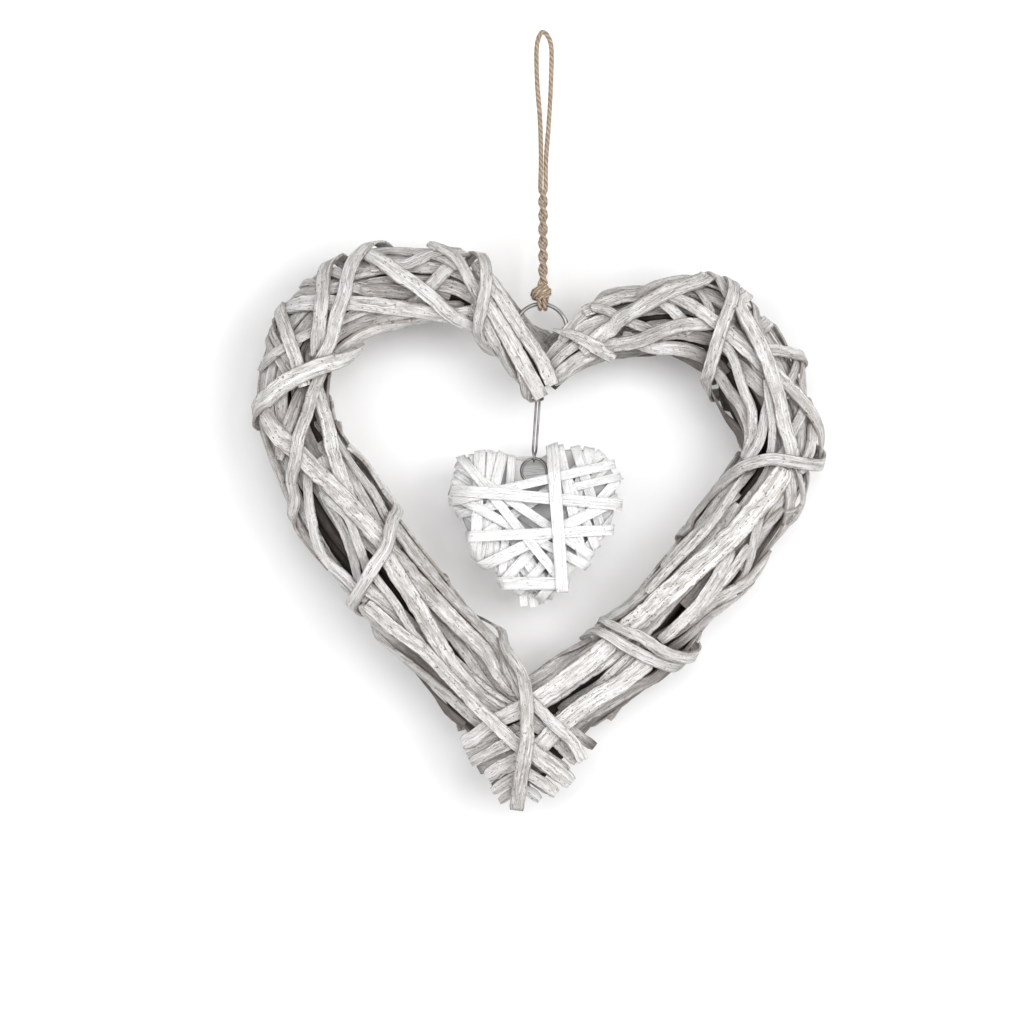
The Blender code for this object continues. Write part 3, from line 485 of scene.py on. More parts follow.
def found_path(bundle, marks, carried):
    """The runs and turns of a strip's marks on a bundle, carried on round it at either end."""
    found = np.array([bundle.locate(across(m)) for m in marks])
    run, turn = found[:, 0], found[:, 1]
    turned = turn[-1] - turn[0]
    pitch = (run[-1] - run[0]) / turned if abs(turned) > SLANTING_TURN else 0.0
    pitch = max(-STEEPEST_PITCH, min(STEEPEST_PITCH, pitch))
    way = 1 if turned > 0 else -1
    ends = []
    for where, degrees, side in ((0, carried[0], -way), (-1, carried[1], way)):
        angle = math.radians(degrees)
        count = 1 + int(degrees / CARRY_STEP)
        shares = np.arange(1, count + 1) / count if degrees else ()
        ends.append([(run[where] + side * angle * s * pitch, turn[where] + side * angle * s) for s in shares])
    return np.array([*ends[0][::-1], *found, *ends[1]])


def strip_bed(bundle, path, proud=1.0):
    """Closely spaced points and outward directions along a path of runs and turns."""
    scale = np.array([1, BUNDLE_RADIUS])
    path = smooth_through(path * scale, bundle.LINE_STEP) / scale
    return bundle.surface(path[:, 0], path[:, 1], proud)


def flat_bed(marks):
    """The bed of a strip that lies flat over a crossing."""
    line = smooth_through([across(m) for m in marks], Bundle.LINE_STEP)
    points = np.stack([line[:, 0], 0 * line[:, 0], line[:, 1]], axis=1)
    return points, np.tile(FRONTWARD, (len(points), 1))


def tip_tie_bed():
    """The bed of the tie down the tip, which comes round the left bundle's inner edge first."""
    marks = [(*across(mark), deep) for mark, deep in TIP_TIE_START]
    marks += [(*across(mark), TIP_TIE_START[-1][1]) for mark in TIP_TIE]
    line = smooth_through(marks, Bundle.LINE_STEP)
    points = line[:, (0, 2, 1)]
    share = eased(run_along(points) / TIP_TIE_BEND)[:, None]
    return points, unit(np.array(TIP_TIE_SIDE) * (1 - share) + np.array(FRONTWARD) * share)


def frame_along(points, out):
    """The directions across and out of a strip at each station."""
    along = unit(np.gradient(points, axis=0))
    out = unit(out - along * np.sum(along * out, axis=1, keepdims=True))
    return np.cross(out, along), out


class Pile:
    """Everything laid so far, as plain strips, which the next strip rests on."""

    LOWEST = -0.006
    BATCH = 12

    def __init__(self):
        self.settled = ([], [])
        self.recent = ([], [])
        self.count = 0
        self.trees = []

    def add(self, sections, closed=False):
        """Put a strip on the pile, given the corners of each of its sections."""
        sides = len(sections[0])
        start = len(self.recent[0])
        self.recent[0].extend(tuple(p) for section in sections for p in section)
        faces = wall_triangles(len(sections), sides, closed)
        self.recent[1].extend([tuple(start + k for k in face) for face in faces])
        self.count += 1
        if self.count % self.BATCH == 0:
            shift = len(self.settled[0])
            self.settled[0].extend(self.recent[0])
            self.settled[1].extend([tuple(shift + k for k in face) for face in self.recent[1]])
            self.recent = ([], [])
        self.trees = [BVHTree.FromPolygons(*part) for part in (self.settled, self.recent) if part[1]]

    def height(self, point, out, reach):
        """How far out of the bed the pile stands at a point, felt from reach above it."""
        start, way = Vector(point + out * reach), Vector(-out)
        hits = (tree.ray_cast(start, way, reach - self.LOWEST)[3] for tree in self.trees)
        return max((reach - far for far in hits if far is not None), default=self.LOWEST)

    def struck(self, sections, closed=False):
        """The stations at which a strip with these sections would cut into the pile."""
        sides = len(sections[0])
        faces = wall_triangles(len(sections), sides, closed)
        trial = BVHTree.FromPolygons([tuple(p) for section in sections for p in section], faces)
        hit = {face for tree in self.trees for face, _ in trial.overlap(tree)}
        return sorted({corner // sides for face in hit for corner in faces[face]})


def wall_triangles(count, sides, closed):
    """The triangles between sections numbered one after another, for finding what touches what."""
    faces = []
    for k in range(count if closed else count - 1):
        this, following = k * sides, (k + 1) % count * sides
        for i in range(sides):
            j = (i + 1) % sides
            faces += [(this + i, following + i, following + j), (this + i, following + j, this + j)]
    return faces


PILE = Pile()
SMALL_PILE = Pile()

# How a strip is let down: the length and the bend between two stations, where across it the pile is felt,
# the air under it, how far it is raised where it still cuts in and how often, and how far its edges are
# smoothed

LAY_STATION = 0.0045
LAY_BEND = 0.3
LEAST_STATIONS = 5
FELT_ACROSS = (-0.5, -0.25, 0.0, 0.25, 0.5)
AIR_UNDER = 0.1 * MM
RAISED_BY = 0.25 * MM
RAISINGS = 16
SMOOTHED_BY = 0.15 * MM

# How stiff it is: rounds in which it spans a dip, and the bends between stations at which it gives way

STIFFNESS = 40
RAISED_STIFFNESS = 4
GIVES_FROM = 1.15
GIVES_WAY_AT = 0.22

# How it leans on a pile that is higher at one edge

STEEPEST_LEAN = 0.45
LEAN_SHARE = 0.7
LEAN_ROUNDS = 5

# On a bundle's flank the pile is felt from less far off, as shares of the reach in front

FLANK_GAIN = 1.3
FLANK_LEAST = 0.45


def plain_sections(points, side, up, width, thickness, lift, roll):
    """The four corners of a flat strip at each station."""
    edge = unit(side + up * roll[:, None])
    face = np.cross(np.cross(edge, up), edge)
    half = edge * width / 2
    low = points + up * lift[:, None]
    high = low + unit(face) * thickness
    return np.stack([low - half, low + half, high + half, high - half], axis=1)


def softened(values, rounds=1):
    """The values with their steps smoothed out."""
    for _ in range(rounds):
        between = (values[:-2] + 2 * values[1:-1] + values[2:]) / 4
        values = np.concatenate([[values[0]], between, [values[-1]]])
    return values


def bridged(need, rounds, stiff):
    """Heights no lower than needed, that span dips as far as the strip is stiff and not bent over an edge."""
    lift = need.copy()
    for _ in range(rounds):
        lift = np.maximum(need, lift + (softened(lift) - lift) * stiff)
    return lift


def settle(points, out, width, thickness, reach, floor, straight_ends):
    """Let a stiff strip down on the pile. Gives its stations, directions, heights and rolls."""
    pace = run_along(points) / LAY_STATION + run_along(unit(out)) / LAY_BEND
    even = np.linspace(0, pace[-1], max(LEAST_STATIONS, round(pace[-1]) + 1))
    points, out = read_at(even, pace, points), unit(read_at(even, pace, out))
    side, up = frame_along(points, out)
    shares = np.array(FELT_ACROSS)
    reaches = reach * np.clip(FLANK_GAIN * np.abs(up[:, 1]), FLANK_LEAST, 1)
    felt = []
    for point, beside, off, far in zip(points, side, up, reaches):
        felt.append([PILE.height(point + beside * share * width, off, far) for share in shares])
    felt = np.array(felt)
    bend = np.linalg.norm(np.gradient(out, axis=0), axis=1)
    stiff = np.clip(GIVES_FROM - bend / GIVES_WAY_AT, 0, 1)
    borne = np.flatnonzero(felt.max(axis=1) > floor)
    felt = np.maximum(felt, floor)
    if straight_ends and len(borne):
        felt[: borne[0]] = felt[borne[0]].max()
        felt[borne[-1] + 1 :] = felt[borne[-1]].max()
    lean = (felt[:, 3:].max(axis=1) - felt[:, :2].max(axis=1)) / width
    roll = softened(np.clip(lean, -STEEPEST_LEAN, STEEPEST_LEAN) * LEAN_SHARE, LEAN_ROUNDS)
    need = (felt - roll[:, None] * shares * width).max(axis=1) + AIR_UNDER
    need = np.array([need[max(0, k - 1) : k + 2].max() for k in range(len(need))])
    lift = bridged(need, STIFFNESS, stiff)
    for _ in range(RAISINGS):
        struck = PILE.struck(plain_sections(points, side, up, width, thickness, lift, roll))
        if not struck:
            break
        need = lift.copy()
        need[struck] += RAISED_BY
        lift = bridged(need, RAISED_STIFFNESS, stiff)
    lift = np.maximum(softened(lift, 2), lift - SMOOTHED_BY)
    PILE.add(plain_sections(points, side, up, width, thickness, lift, roll))
    return points, out, lift, roll


# A strip's own section as shares of its width and thickness: flat below, a little crowned, edges eased

STRIP_PROFILE = (
    (-0.48, 0.0), (0.48, 0.0), (0.5, 0.2), (0.5, 0.78), (0.485, 0.95), (0.44, 1.0), (0.15, 1.04),
    (-0.15, 1.04), (-0.44, 1.0), (-0.485, 0.95), (-0.5, 0.78), (-0.5, 0.2),
)

# A rod's section as shares of its thickness

ROD_SIDES = 9
ROD_ANGLES = np.arange(ROD_SIDES) * 2 * math.pi / ROD_SIDES
ROD_PROFILE = tuple((0.5 * math.sin(-a), 0.5 - 0.5 * math.cos(a)) for a in ROD_ANGLES)


class Piece:
    """One visible piece that strips, rods or twine are added to."""

    def __init__(self, name):
        self.name = name
        self.bm = bmesh.new()
        self.layers(self.bm)

    def layers(self, bm):
        """What the materials read: where on its strip a corner lies, and how high on the pile, which sets
        painted shade.
        """
        return bm.verts.layers.float_vector.new("laid"), bm.verts.layers.float.new("height")

    def sweep(self, sections, places, heights, closed=False):
        """Extrude a face through sections; places are (along, across, seed) for each corner."""
        bm = bmesh.new()
        laid, height = self.layers(bm)

        def mark(verts, k):
            highs = np.broadcast_to(heights[k], len(verts))
            for vert, corner, place, high in zip(verts, sections[k], places[k], highs):
                vert.co = corner
                vert[laid] = place
                vert[height] = high

        first = bm.faces.new([bm.verts.new(p) for p in sections[0]])
        mark(first.verts, 0)
        cap = first
        for k in range(1, len(sections)):
            made = bmesh.ops.extrude_face_region(bm, geom=[cap])["geom"]
            if k > 1:
                bm.faces.remove(cap)
            cap = next(g for g in made if isinstance(g, bmesh.types.BMFace))
            mark(cap.verts, k)
        if closed:
            start, end = list(first.verts), list(cap.verts)
            bm.faces.remove(first)
            bm.faces.remove(cap)
            for k in range(len(start)):
                following = (k + 1) % len(start)
                bm.faces.new((end[k], start[k], start[following], end[following]))
        self.add(bm)

    def add(self, bm):
        """Move a finished small mesh into the piece."""
        mesh = bpy.data.meshes.new(self.name)
        bm.to_mesh(mesh)
        bm.free()
        self.bm.from_mesh(mesh)
        bpy.data.meshes.remove(mesh)

    def finish(self, material, slot, replaced=(), sharp=50):
        """Turn the work into an object that rides on the wreath."""
        bmesh.ops.recalc_face_normals(self.bm, faces=self.bm.faces)
        mesh = bpy.data.meshes.new(self.name)
        self.bm.to_mesh(mesh)
        self.bm.free()
        mesh.materials.append(material)
        mesh.shade_smooth()
        mesh.set_sharp_from_angle(angle=math.radians(sharp))
        piece = bpy.data.objects.new(self.name, mesh)
        bpy.context.scene.collection.objects.link(piece)
        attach(piece, "root")
        if replaced:
            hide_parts(*replaced)
        return piece


WANDERING_LENGTH = 0.02


def wandering(rng, count, step, size):
    """A slow random walk back and forth, about size wide."""
    knots = max(4, round(count * step / WANDERING_LENGTH) + 2)
    values = rng.normal(0, size, knots)
    return np.interp(np.linspace(0, knots - 1, count), np.arange(knots), values)


def finely(points, out, lift, roll, station):
    """The settled strip read again at close stations."""
    run = run_along(points)
    dense = smooth_through(np.hstack([points, out, lift[:, None], roll[:, None]]), station)
    run = run_along(dense[:, :3])
    even = np.linspace(0, run[-1], max(4, round(run[-1] / station) + 1))
    dense = read_at(even, run, dense)
    return even, dense[:, :3], unit(dense[:, 3:6]), dense[:, 6], dense[:, 7]


# How a strip is worn: shares by which it is thicker or thinner, twists, widens and narrows and is frayed,
# the shares of its width that its cut ends keep, and how far it is cupped

THICKNESS_RANGE = (0.85, 1.15)
TWIST = 0.03
WIDENING = 0.035
NICK = 0.016
CUT_END_RANGE = (0.70, 0.95)
CUPPING = 0.10

# How far above its bed and below it a strip is let down on the pile

REACH = 0.013
LET_IN = -0.0015


def lay_strip(
    piece, bed, width, rng, profile=STRIP_PROFILE, thickness=None, reach=REACH, floor=LET_IN,
    taper=(1, 1, 1), straight_ends=False,
):
    """Settle one strip and model it in full on a piece; taper gives shares of its width from start to end."""
    sizes = bpy.context.scene.wreath_sizes
    thickness = thickness or sizes.strip_thickness * rng.uniform(*THICKNESS_RANGE)
    settled = settle(*bed, width, thickness, reach, floor, straight_ends)
    run, points, out, lift, roll = finely(*settled, sizes.station)
    side, up = frame_along(points, out)
    count = len(points)
    edge = unit(side + up * (roll + wandering(rng, count, sizes.station, TWIST))[:, None])
    face = unit(np.cross(np.cross(edge, up), edge))
    waver = wandering(rng, count, sizes.station, sizes.waver)[:, None]
    middle = points + up * lift[:, None] + edge * waver
    taper_at = np.interp(np.linspace(0, 1, count), np.linspace(0, 1, len(taper)), taper)
    widths = width * taper_at * (1 + wandering(rng, count, sizes.station, WIDENING))
    widths[[0, -1]] *= rng.uniform(*CUT_END_RANGE, 2)
    cup = wandering(rng, count, sizes.station, CUPPING) * MM
    seed = rng.random()
    sections, places = [], []
    for k in range(count):
        nicks = rng.normal(0, NICK, 2)
        section = []
        for x, y in profile:
            aside = edge[k] * widths[k] * (x + nicks[int(x > 0)])
            section.append(middle[k] + aside + face[k] * (thickness * y + cup[k] * (4 * x * x - 1)))
        sections.append(section)
        places.append([(run[k], 2 * x, seed) for x, y in profile])
    # The lift goes to the material as the height, which paints the strip darker the lower it lies.
    piece.sweep(sections, places, lift)


# How far an end is pushed under its neighbours, and from how far above the crossings strips are let down

TUCK = 0.005
CROSSING_REACH = 0.024


def tucked(path, carried):
    """The path with each end that isn't carried round pushed a little further under its neighbours."""
    ends = []
    for end, before, degrees in ((path[0], path[1], carried[0]), (path[-1], path[-2], carried[1])):
        step = end - before
        long = math.hypot(step[0], step[1] * BUNDLE_RADIUS)
        ends.append([end + step * TUCK / long] if degrees == 0 else [])
    return np.array([*ends[0], *path, *ends[1]])


def lay_all(piece, bundle, strips, rng, **shape):
    """Lay the strips of one part of the heart."""
    for width, marks, carried in strips:
        path = tucked(found_path(bundle, marks, carried), carried)
        lay_strip(piece, strip_bed(bundle, path), width * MM, rng, **shape)


def lay_flat(piece, strips, rng, floor=0.0, **shape):
    """Lay strips flat, over the crossing at the tip or at the cleft."""
    shape = {"reach": CROSSING_REACH, "floor": floor, "straight_ends": True, **shape}
    for width, marks, _ in strips:
        lay_strip(piece, flat_bed(marks), width * MM, rng, **shape)


# The long strips under the windings: how many on a bundle, how near its ends they come, how far its surface
# they lie in, how they are spread along it and round it, how long they are and how far they wind and stray

UNDER_STRIPS = 20
UNDER_FROM_CLEFT = 0.022
UNDER_FROM_TIP = 0.030
UNDER_SURFACE = 0.80
UNDER_REACH = 0.009
UNDER_POINTS = 6
GOLDEN_ALONG = 0.618
GOLDEN_ROUND = 0.382
STARTS_WITHIN = 0.6
UNDER_LENGTHS = (0.16, 0.26)
UNDER_WINDING = 0.35
UNDER_STRAYING = 0.05
WIDE_STRIPS = (5.5, 8)
LONG_STRIPS = (5.5, 7.5)


def lay_underlay(piece, bundle, rng):
    """Strips along the bundle under the windings, all round it."""
    first, last = bundle.first + UNDER_FROM_CLEFT, bundle.last - UNDER_FROM_TIP
    for k in range(UNDER_STRIPS):
        turn = 2 * math.pi * (k * GOLDEN_ROUND % 1)
        start = first + (last - first) * (k * GOLDEN_ALONG % 1) * STARTS_WITHIN
        end = min(last, start + rng.uniform(*UNDER_LENGTHS))
        runs = np.linspace(start, end, UNDER_POINTS)
        winding = np.linspace(-UNDER_WINDING, UNDER_WINDING, UNDER_POINTS) * rng.choice((-1, 1))
        turns = turn + winding + rng.normal(0, UNDER_STRAYING, UNDER_POINTS)
        bed = strip_bed(bundle, np.stack([runs, turns], axis=1), UNDER_SURFACE)
        lay_strip(piece, bed, rng.uniform(*WIDE_STRIPS) * MM, rng, reach=UNDER_REACH, floor=0.0)


# The back, in turns round the bundle and lengths along it. The windings stay clear of the crossings, and
# long strips cover the bundle's ends and lie over the windings.

BEHIND = math.pi
BACK_SURFACE = 0.95
BACK_POINTS = 5
BACK_FROM_CLEFT = 0.050
BACK_FROM_TIP = 0.045
WINDING_STEP = 0.026
LEAST_SLANT = 0.020
SLANT_RANGE = 0.022
WINDING_STARTS = (1.95, 2.15)
WINDING_ENDS = (4.15, 4.35)
END_TURNS = (BEHIND - 0.8, BEHIND + 0.8, BEHIND)
END_WINDING = 0.2
END_OVERLAP = 0.020
END_FROM_CLEFT = 0.002
END_FROM_TIP = 0.006
END_START_RANGE = 0.006
END_STOP_RANGE = 0.012
OVERLAID = 5
FIRST_OVERLAID = 0.10
OVERLAID_STEP = 0.16
OVERLAID_LENGTHS = (0.09, 0.13)
OVERLAID_TURNS = (-0.7, 0.7)
OVERLAID_WINDING = 0.25


def swing(rng, reach):
    """Turns from one side to the other, starting on either."""
    return np.linspace(-reach, reach, BACK_POINTS) * rng.choice((-1, 1))


def lay_behind(piece, bundle, rng, runs, turns, widths):
    """Lay one strip over the back."""
    bed = strip_bed(bundle, np.stack([runs, turns], axis=1), BACK_SURFACE)
    lay_strip(piece, bed, rng.uniform(*widths) * MM, rng)


def lay_back(piece, bundle, rng):
    """Windings over the back, slanting one way and the other as the front ones do, and long strips."""
    start, end = bundle.first + BACK_FROM_CLEFT, bundle.last - BACK_FROM_TIP
    at_cleft = bundle.first + END_FROM_CLEFT, start + END_OVERLAP
    at_tip = end - END_OVERLAP, bundle.last - END_FROM_TIP
    for low, high in (at_cleft, at_tip):
        for turn in END_TURNS:
            low_end = low + rng.uniform(0, END_START_RANGE)
            high_end = high - rng.uniform(0, END_STOP_RANGE)
            runs = np.linspace(low_end, high_end, BACK_POINTS)
            lay_behind(piece, bundle, rng, runs, turn + swing(rng, END_WINDING), LONG_STRIPS)
    for k, run in enumerate(np.arange(start, end, WINDING_STEP)):
        slant = (LEAST_SLANT + rng.uniform(0, SLANT_RANGE)) * (1 if k % 2 else -1)
        turns = np.linspace(rng.uniform(*WINDING_STARTS), rng.uniform(*WINDING_ENDS), BACK_POINTS)
        runs = run + slant * np.linspace(-1, 1, BACK_POINTS)
        lay_behind(piece, bundle, rng, runs, turns, WIDE_STRIPS)
    for k in range(OVERLAID):
        run = start + (end - start) * (FIRST_OVERLAID + OVERLAID_STEP * k)
        runs = np.linspace(run, run + rng.uniform(*OVERLAID_LENGTHS), BACK_POINTS)
        turns = BEHIND + rng.uniform(*OVERLAID_TURNS) + swing(rng, OVERLAID_WINDING)
        lay_behind(piece, bundle, rng, runs, turns, LONG_STRIPS)


def tree_of(material):
    """An emptied node tree with a Principled shader and an output."""
    material.use_nodes = True
    tree = material.node_tree
    tree.nodes.clear()
    shader = tree.nodes.new("ShaderNodeBsdfPrincipled")
    output = tree.nodes.new("ShaderNodeOutputMaterial")
    tree.links.new(shader.outputs["BSDF"], output.inputs["Surface"])
    return tree, shader


def placed(tree, kind, links=None, **settings):
    """A node with its settings, and its inputs linked or set by name or number."""
    node = tree.nodes.new(kind)
    for name, value in settings.items():
        setattr(node, name, value)
    for socket, value in (links or {}).items():
        if isinstance(value, bpy.types.NodeSocket):
            tree.links.new(value, node.inputs[socket])
        else:
            node.inputs[socket].default_value = value
    return node


def maths(tree, operation, a, b=0.0, c=0.0, clamp=False):
    """What comes out of a Math node."""
    node = placed(tree, "ShaderNodeMath", {0: a, 1: b, 2: c}, operation=operation, use_clamp=clamp)
    return node.outputs[0]


def band(tree, value, low, high, to_low=0.0, to_high=1.0):
    """The value brought from low..high to the two other numbers, eased and held at both ends."""
    links = {"Value": value, "From Min": low, "From Max": high, "To Min": to_low, "To Max": to_high}
    return placed(tree, "ShaderNodeMapRange", links, interpolation_type="SMOOTHSTEP").outputs["Result"]


def blended(tree, share, one, other):
    """One colour with a share of the other over it."""
    node = placed(tree, "ShaderNodeMix", data_type="RGBA")
    factor, first, second, mixed = node.inputs[0], node.inputs[6], node.inputs[7], node.outputs[2]
    for socket, value in ((factor, share), (first, one), (second, other)):
        if isinstance(value, bpy.types.NodeSocket):
            tree.links.new(value, socket)
        else:
            socket.default_value = value
    return mixed


def attribute(tree, name):
    """A value that the pieces' corners carry."""
    return placed(tree, "ShaderNodeAttribute", attribute_name=name).outputs


def drawn_noise(tree, along, over):
    """Noise drawn out along a strand, with so many waves to the metre along it and so many across."""
    parts = placed(tree, "ShaderNodeSeparateXYZ", {0: attribute(tree, "laid")["Vector"]}).outputs
    run, side = maths(tree, "MULTIPLY", parts["X"], along), maths(tree, "MULTIPLY", parts["Y"], over)
    where = placed(tree, "ShaderNodeCombineXYZ", {0: run, 1: side, 2: parts["Z"]})
    links = {"Vector": where.outputs[0], "Scale": 1.0, "Detail": 4.0}
    return placed(tree, "ShaderNodeTexNoise", links).outputs["Fac"]


def new_group(name, inputs, outputs):
    """An empty node group with named sockets: (name, kind, default) going in, (name, kind) coming out."""
    group = bpy.data.node_groups.new(name, "ShaderNodeTree")
    for label, kind, default in inputs:
        socket = group.interface.new_socket(label, in_out="INPUT", socket_type="NodeSocket" + kind)
        if default is not None:
            socket.default_value = default
    for label, kind in outputs:
        group.interface.new_socket(label, in_out="OUTPUT", socket_type="NodeSocket" + kind)
    return group, group.nodes.new("NodeGroupInput").outputs, group.nodes.new("NodeGroupOutput").inputs


# The masks that the grain gives, and how far apart the grain of two strips lies

GRAIN_MASKS = ("Fibres", "Patches", "Specks", "Cracks", "Tone", "Rim")
STRIPS_APART = 417.0


def willow_grain_group():
    """Fibres, cracks, worn patches and specks of split willow, drawn along each strip."""
    given_sockets, masks = [("Laid", "Vector", None)], [(mask, "Float") for mask in GRAIN_MASKS]
    group, given, wanted = new_group("willow grain", given_sockets, masks)
    parts = placed(group, "ShaderNodeSeparateXYZ", {0: given["Laid"]}).outputs
    apart = maths(group, "MULTIPLY", parts["Z"], STRIPS_APART)

    def noise(along, over, shift, detail, rough):
        run, side = maths(group, "MULTIPLY", parts["X"], along), maths(group, "MULTIPLY", parts["Y"], over)
        where = placed(group, "ShaderNodeCombineXYZ", {0: run, 1: side, 2: maths(group, "ADD", apart, shift)})
        links = {"Vector": where.outputs[0], "Scale": 1.0, "Detail": detail, "Roughness": rough}
        return placed(group, "ShaderNodeTexNoise", links).outputs["Fac"]

    fine = noise(110.0, 7.5, 0.0, 4.0, 0.65)
    coarse = noise(34.0, 3.0, 13.0, 3.0, 0.55)
    fibres = maths(group, "ADD", maths(group, "MULTIPLY", fine, 0.6), maths(group, "MULTIPLY", coarse, 0.4))
    group.links.new(band(group, fibres, 0.36, 0.64), wanted["Fibres"])
    group.links.new(band(group, noise(130.0, 1.4, 29.0, 4.0, 0.68), 0.40, 0.61), wanted["Patches"])
    group.links.new(band(group, noise(640.0, 4.5, 47.0, 1.0, 0.5), 0.655, 0.70), wanted["Specks"])
    ridge = maths(group, "ABSOLUTE", maths(group, "SUBTRACT", noise(16.0, 4.2, 61.0, 2.0, 0.6), 0.5))
    group.links.new(band(group, ridge, 0.0, 0.014, 1.0, 0.0), wanted["Cracks"])
    tone = placed(group, "ShaderNodeTexWhiteNoise", {"W": parts["Z"]}, noise_dimensions="1D")
    group.links.new(tone.outputs["Value"], wanted["Tone"])
    group.links.new(maths(group, "ABSOLUTE", parts["Y"]), wanted["Rim"])
    return group


def worn_wash_group():
    """Wood, wash and unwashed wood brought together by the grain's masks, and painted shade low in the pile.
    """
    white = (1, 1, 1, 1)
    colours = [(label, "Color", white) for label in ("Wood", "Wash", "Bare and shade")]
    masks = [(mask, "Float", 0.5) for mask in GRAIN_MASKS]
    group, given, wanted = new_group(
        "worn wash",
        [*colours, *masks, ("Height", "Float", 0.004), ("Cover", "Float", 0.6)],
        [("Color", "Color"), ("Roughness", "Float"), ("Relief", "Float")],
    )
    # Painted shade: the lower a corner lies on the pile, the nearer its colour comes to the darkest colour.
    reached_and_lit = band(group, given["Height"], -0.0010, 0.0036, 0.15, 1.0)
    share = maths(group, "MULTIPLY_ADD", given["Tone"], 0.40, given["Cover"])
    share = maths(group, "MULTIPLY_ADD", given["Patches"], 0.55, share)
    share = maths(group, "MULTIPLY_ADD", given["Fibres"], 0.50, share)
    share = maths(group, "SUBTRACT", share, band(group, given["Rim"], 0.84, 0.99, 0.0, 0.75))
    share = maths(group, "SUBTRACT", share, 0.72, clamp=True)
    washed = blended(group, share, given["Wood"], given["Wash"])
    # deep is the washed colour darkened by that painted shade.
    deep = blended(group, reached_and_lit, given["Bare and shade"], washed)
    grain = maths(group, "MULTIPLY", maths(group, "SUBTRACT", 1.0, given["Fibres"]), 0.20)
    dark = maths(group, "MAXIMUM", grain, maths(group, "MULTIPLY", given["Specks"], 0.7))
    dark = maths(group, "MAXIMUM", dark, maths(group, "MULTIPLY", given["Cracks"], 0.6))
    group.links.new(blended(group, dark, deep, given["Bare and shade"]), wanted["Color"])
    group.links.new(band(group, share, 0.0, 1.0, 0.80, 0.62), wanted["Roughness"])
    relief = maths(group, "MULTIPLY_ADD", given["Patches"], 0.5, given["Fibres"])
    relief = maths(group, "SUBTRACT", relief, given["Specks"])
    group.links.new(maths(group, "SUBTRACT", relief, given["Cracks"]), wanted["Relief"])
    return group


GRAIN_DEPTH = 0.4 * MM
FIBRE_DEPTH = 0.3 * MM


def darker(colour, share):
    """The colour brought down to a share of its brightness."""
    return [c * share for c in colour]


def willow(name, wood, wash, bare_and_shade, cover, relief):
    """Split willow under a worn wash, with grain along each strip and painted shade low in the pile."""
    material = bpy.data.materials.new(name)
    tree, shader = tree_of(material)
    grain_group = bpy.data.node_groups.get("willow grain") or willow_grain_group()
    wash_group = bpy.data.node_groups.get("worn wash") or worn_wash_group()
    grain = placed(tree, "ShaderNodeGroup", node_tree=grain_group)
    tree.links.new(attribute(tree, "laid")["Vector"], grain.inputs["Laid"])
    finish = placed(tree, "ShaderNodeGroup", node_tree=wash_group)
    for label in GRAIN_MASKS:
        tree.links.new(grain.outputs[label], finish.inputs[label])
    # The height on the pile sets the painted shade.
    tree.links.new(attribute(tree, "height")["Fac"], finish.inputs["Height"])
    for label, colour in (("Wood", wood), ("Wash", wash), ("Bare and shade", bare_and_shade)):
        finish.inputs[label].default_value = (*colour, 1)
    finish.inputs["Cover"].default_value = cover
    tree.links.new(finish.outputs["Color"], shader.inputs["Base Color"])
    tree.links.new(finish.outputs["Roughness"], shader.inputs["Roughness"])
    grooves = {"Strength": relief, "Distance": GRAIN_DEPTH, "Height": finish.outputs["Relief"]}
    bump = placed(tree, "ShaderNodeBump", grooves)
    tree.links.new(bump.outputs["Normal"], shader.inputs["Normal"])
    shader.inputs["Specular IOR Level"].default_value = 0.3
    return material


def jute_material(colour):
    """Jute yarn: fine fibres along each ply, with painted shade in the grooves between the plies."""
    material = bpy.data.materials.new("jute fibres")
    tree, shader = tree_of(material)
    fibre = band(tree, drawn_noise(tree, 380.0, 7.0), 0.32, 0.68)
    light = [min(1, c * 1.25) for c in colour]
    shade = blended(tree, fibre, (*darker(colour, 0.38), 1), (*light, 1))
    # Painted shade in the grooves between the plies, where the twine's height is low.
    ridge = band(tree, attribute(tree, "height")["Fac"], 0.1, 0.8)
    shade = blended(tree, ridge, (*darker(colour, 0.22), 1), shade)
    tree.links.new(shade, shader.inputs["Base Color"])
    bump = placed(tree, "ShaderNodeBump", {"Strength": 0.7, "Distance": FIBRE_DEPTH, "Height": fibre})
    tree.links.new(bump.outputs["Normal"], shader.inputs["Normal"])
    shader.inputs["Roughness"].default_value = 0.95
    shader.inputs["Specular IOR Level"].default_value = 0.15
    return material


def wire_material(name, colour):
    """Zinc-coated wire, dull, with drawn lines and a few darker spots."""
    material = bpy.data.materials.new(name)
    tree, shader = tree_of(material)
    cloud = band(tree, drawn_noise(tree, 160.0, 3.0), 0.35, 0.7)
    shade = blended(tree, cloud, (*darker(colour, 0.45), 1), (*colour, 1))
    tree.links.new(shade, shader.inputs["Base Color"])
    tree.links.new(band(tree, cloud, 0.0, 1.0, 0.52, 0.34), shader.inputs["Roughness"])
    shader.inputs["Metallic"].default_value = 0.9
    return material


def nodes_named(*starts):
    """The frame's nodes whose names start in one of these ways."""
    return [name for name in sorted(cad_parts) if name.startswith(starts)]


def washed_willow():
    """The wreath's own finish, made once."""
    colours = bpy.context.scene.wreath_colours
    name = "whitewashed willow"
    made = bpy.data.materials.get(name)
    return made or willow(name, colours.wood, colours.wash, colours.bare_and_shade, cover=0.76, relief=0.9)


def fresh_numbers(step):
    """Random numbers of their own for each operator."""
    return np.random.default_rng(bpy.context.scene.wreath_sizes.seed * 100 + step)


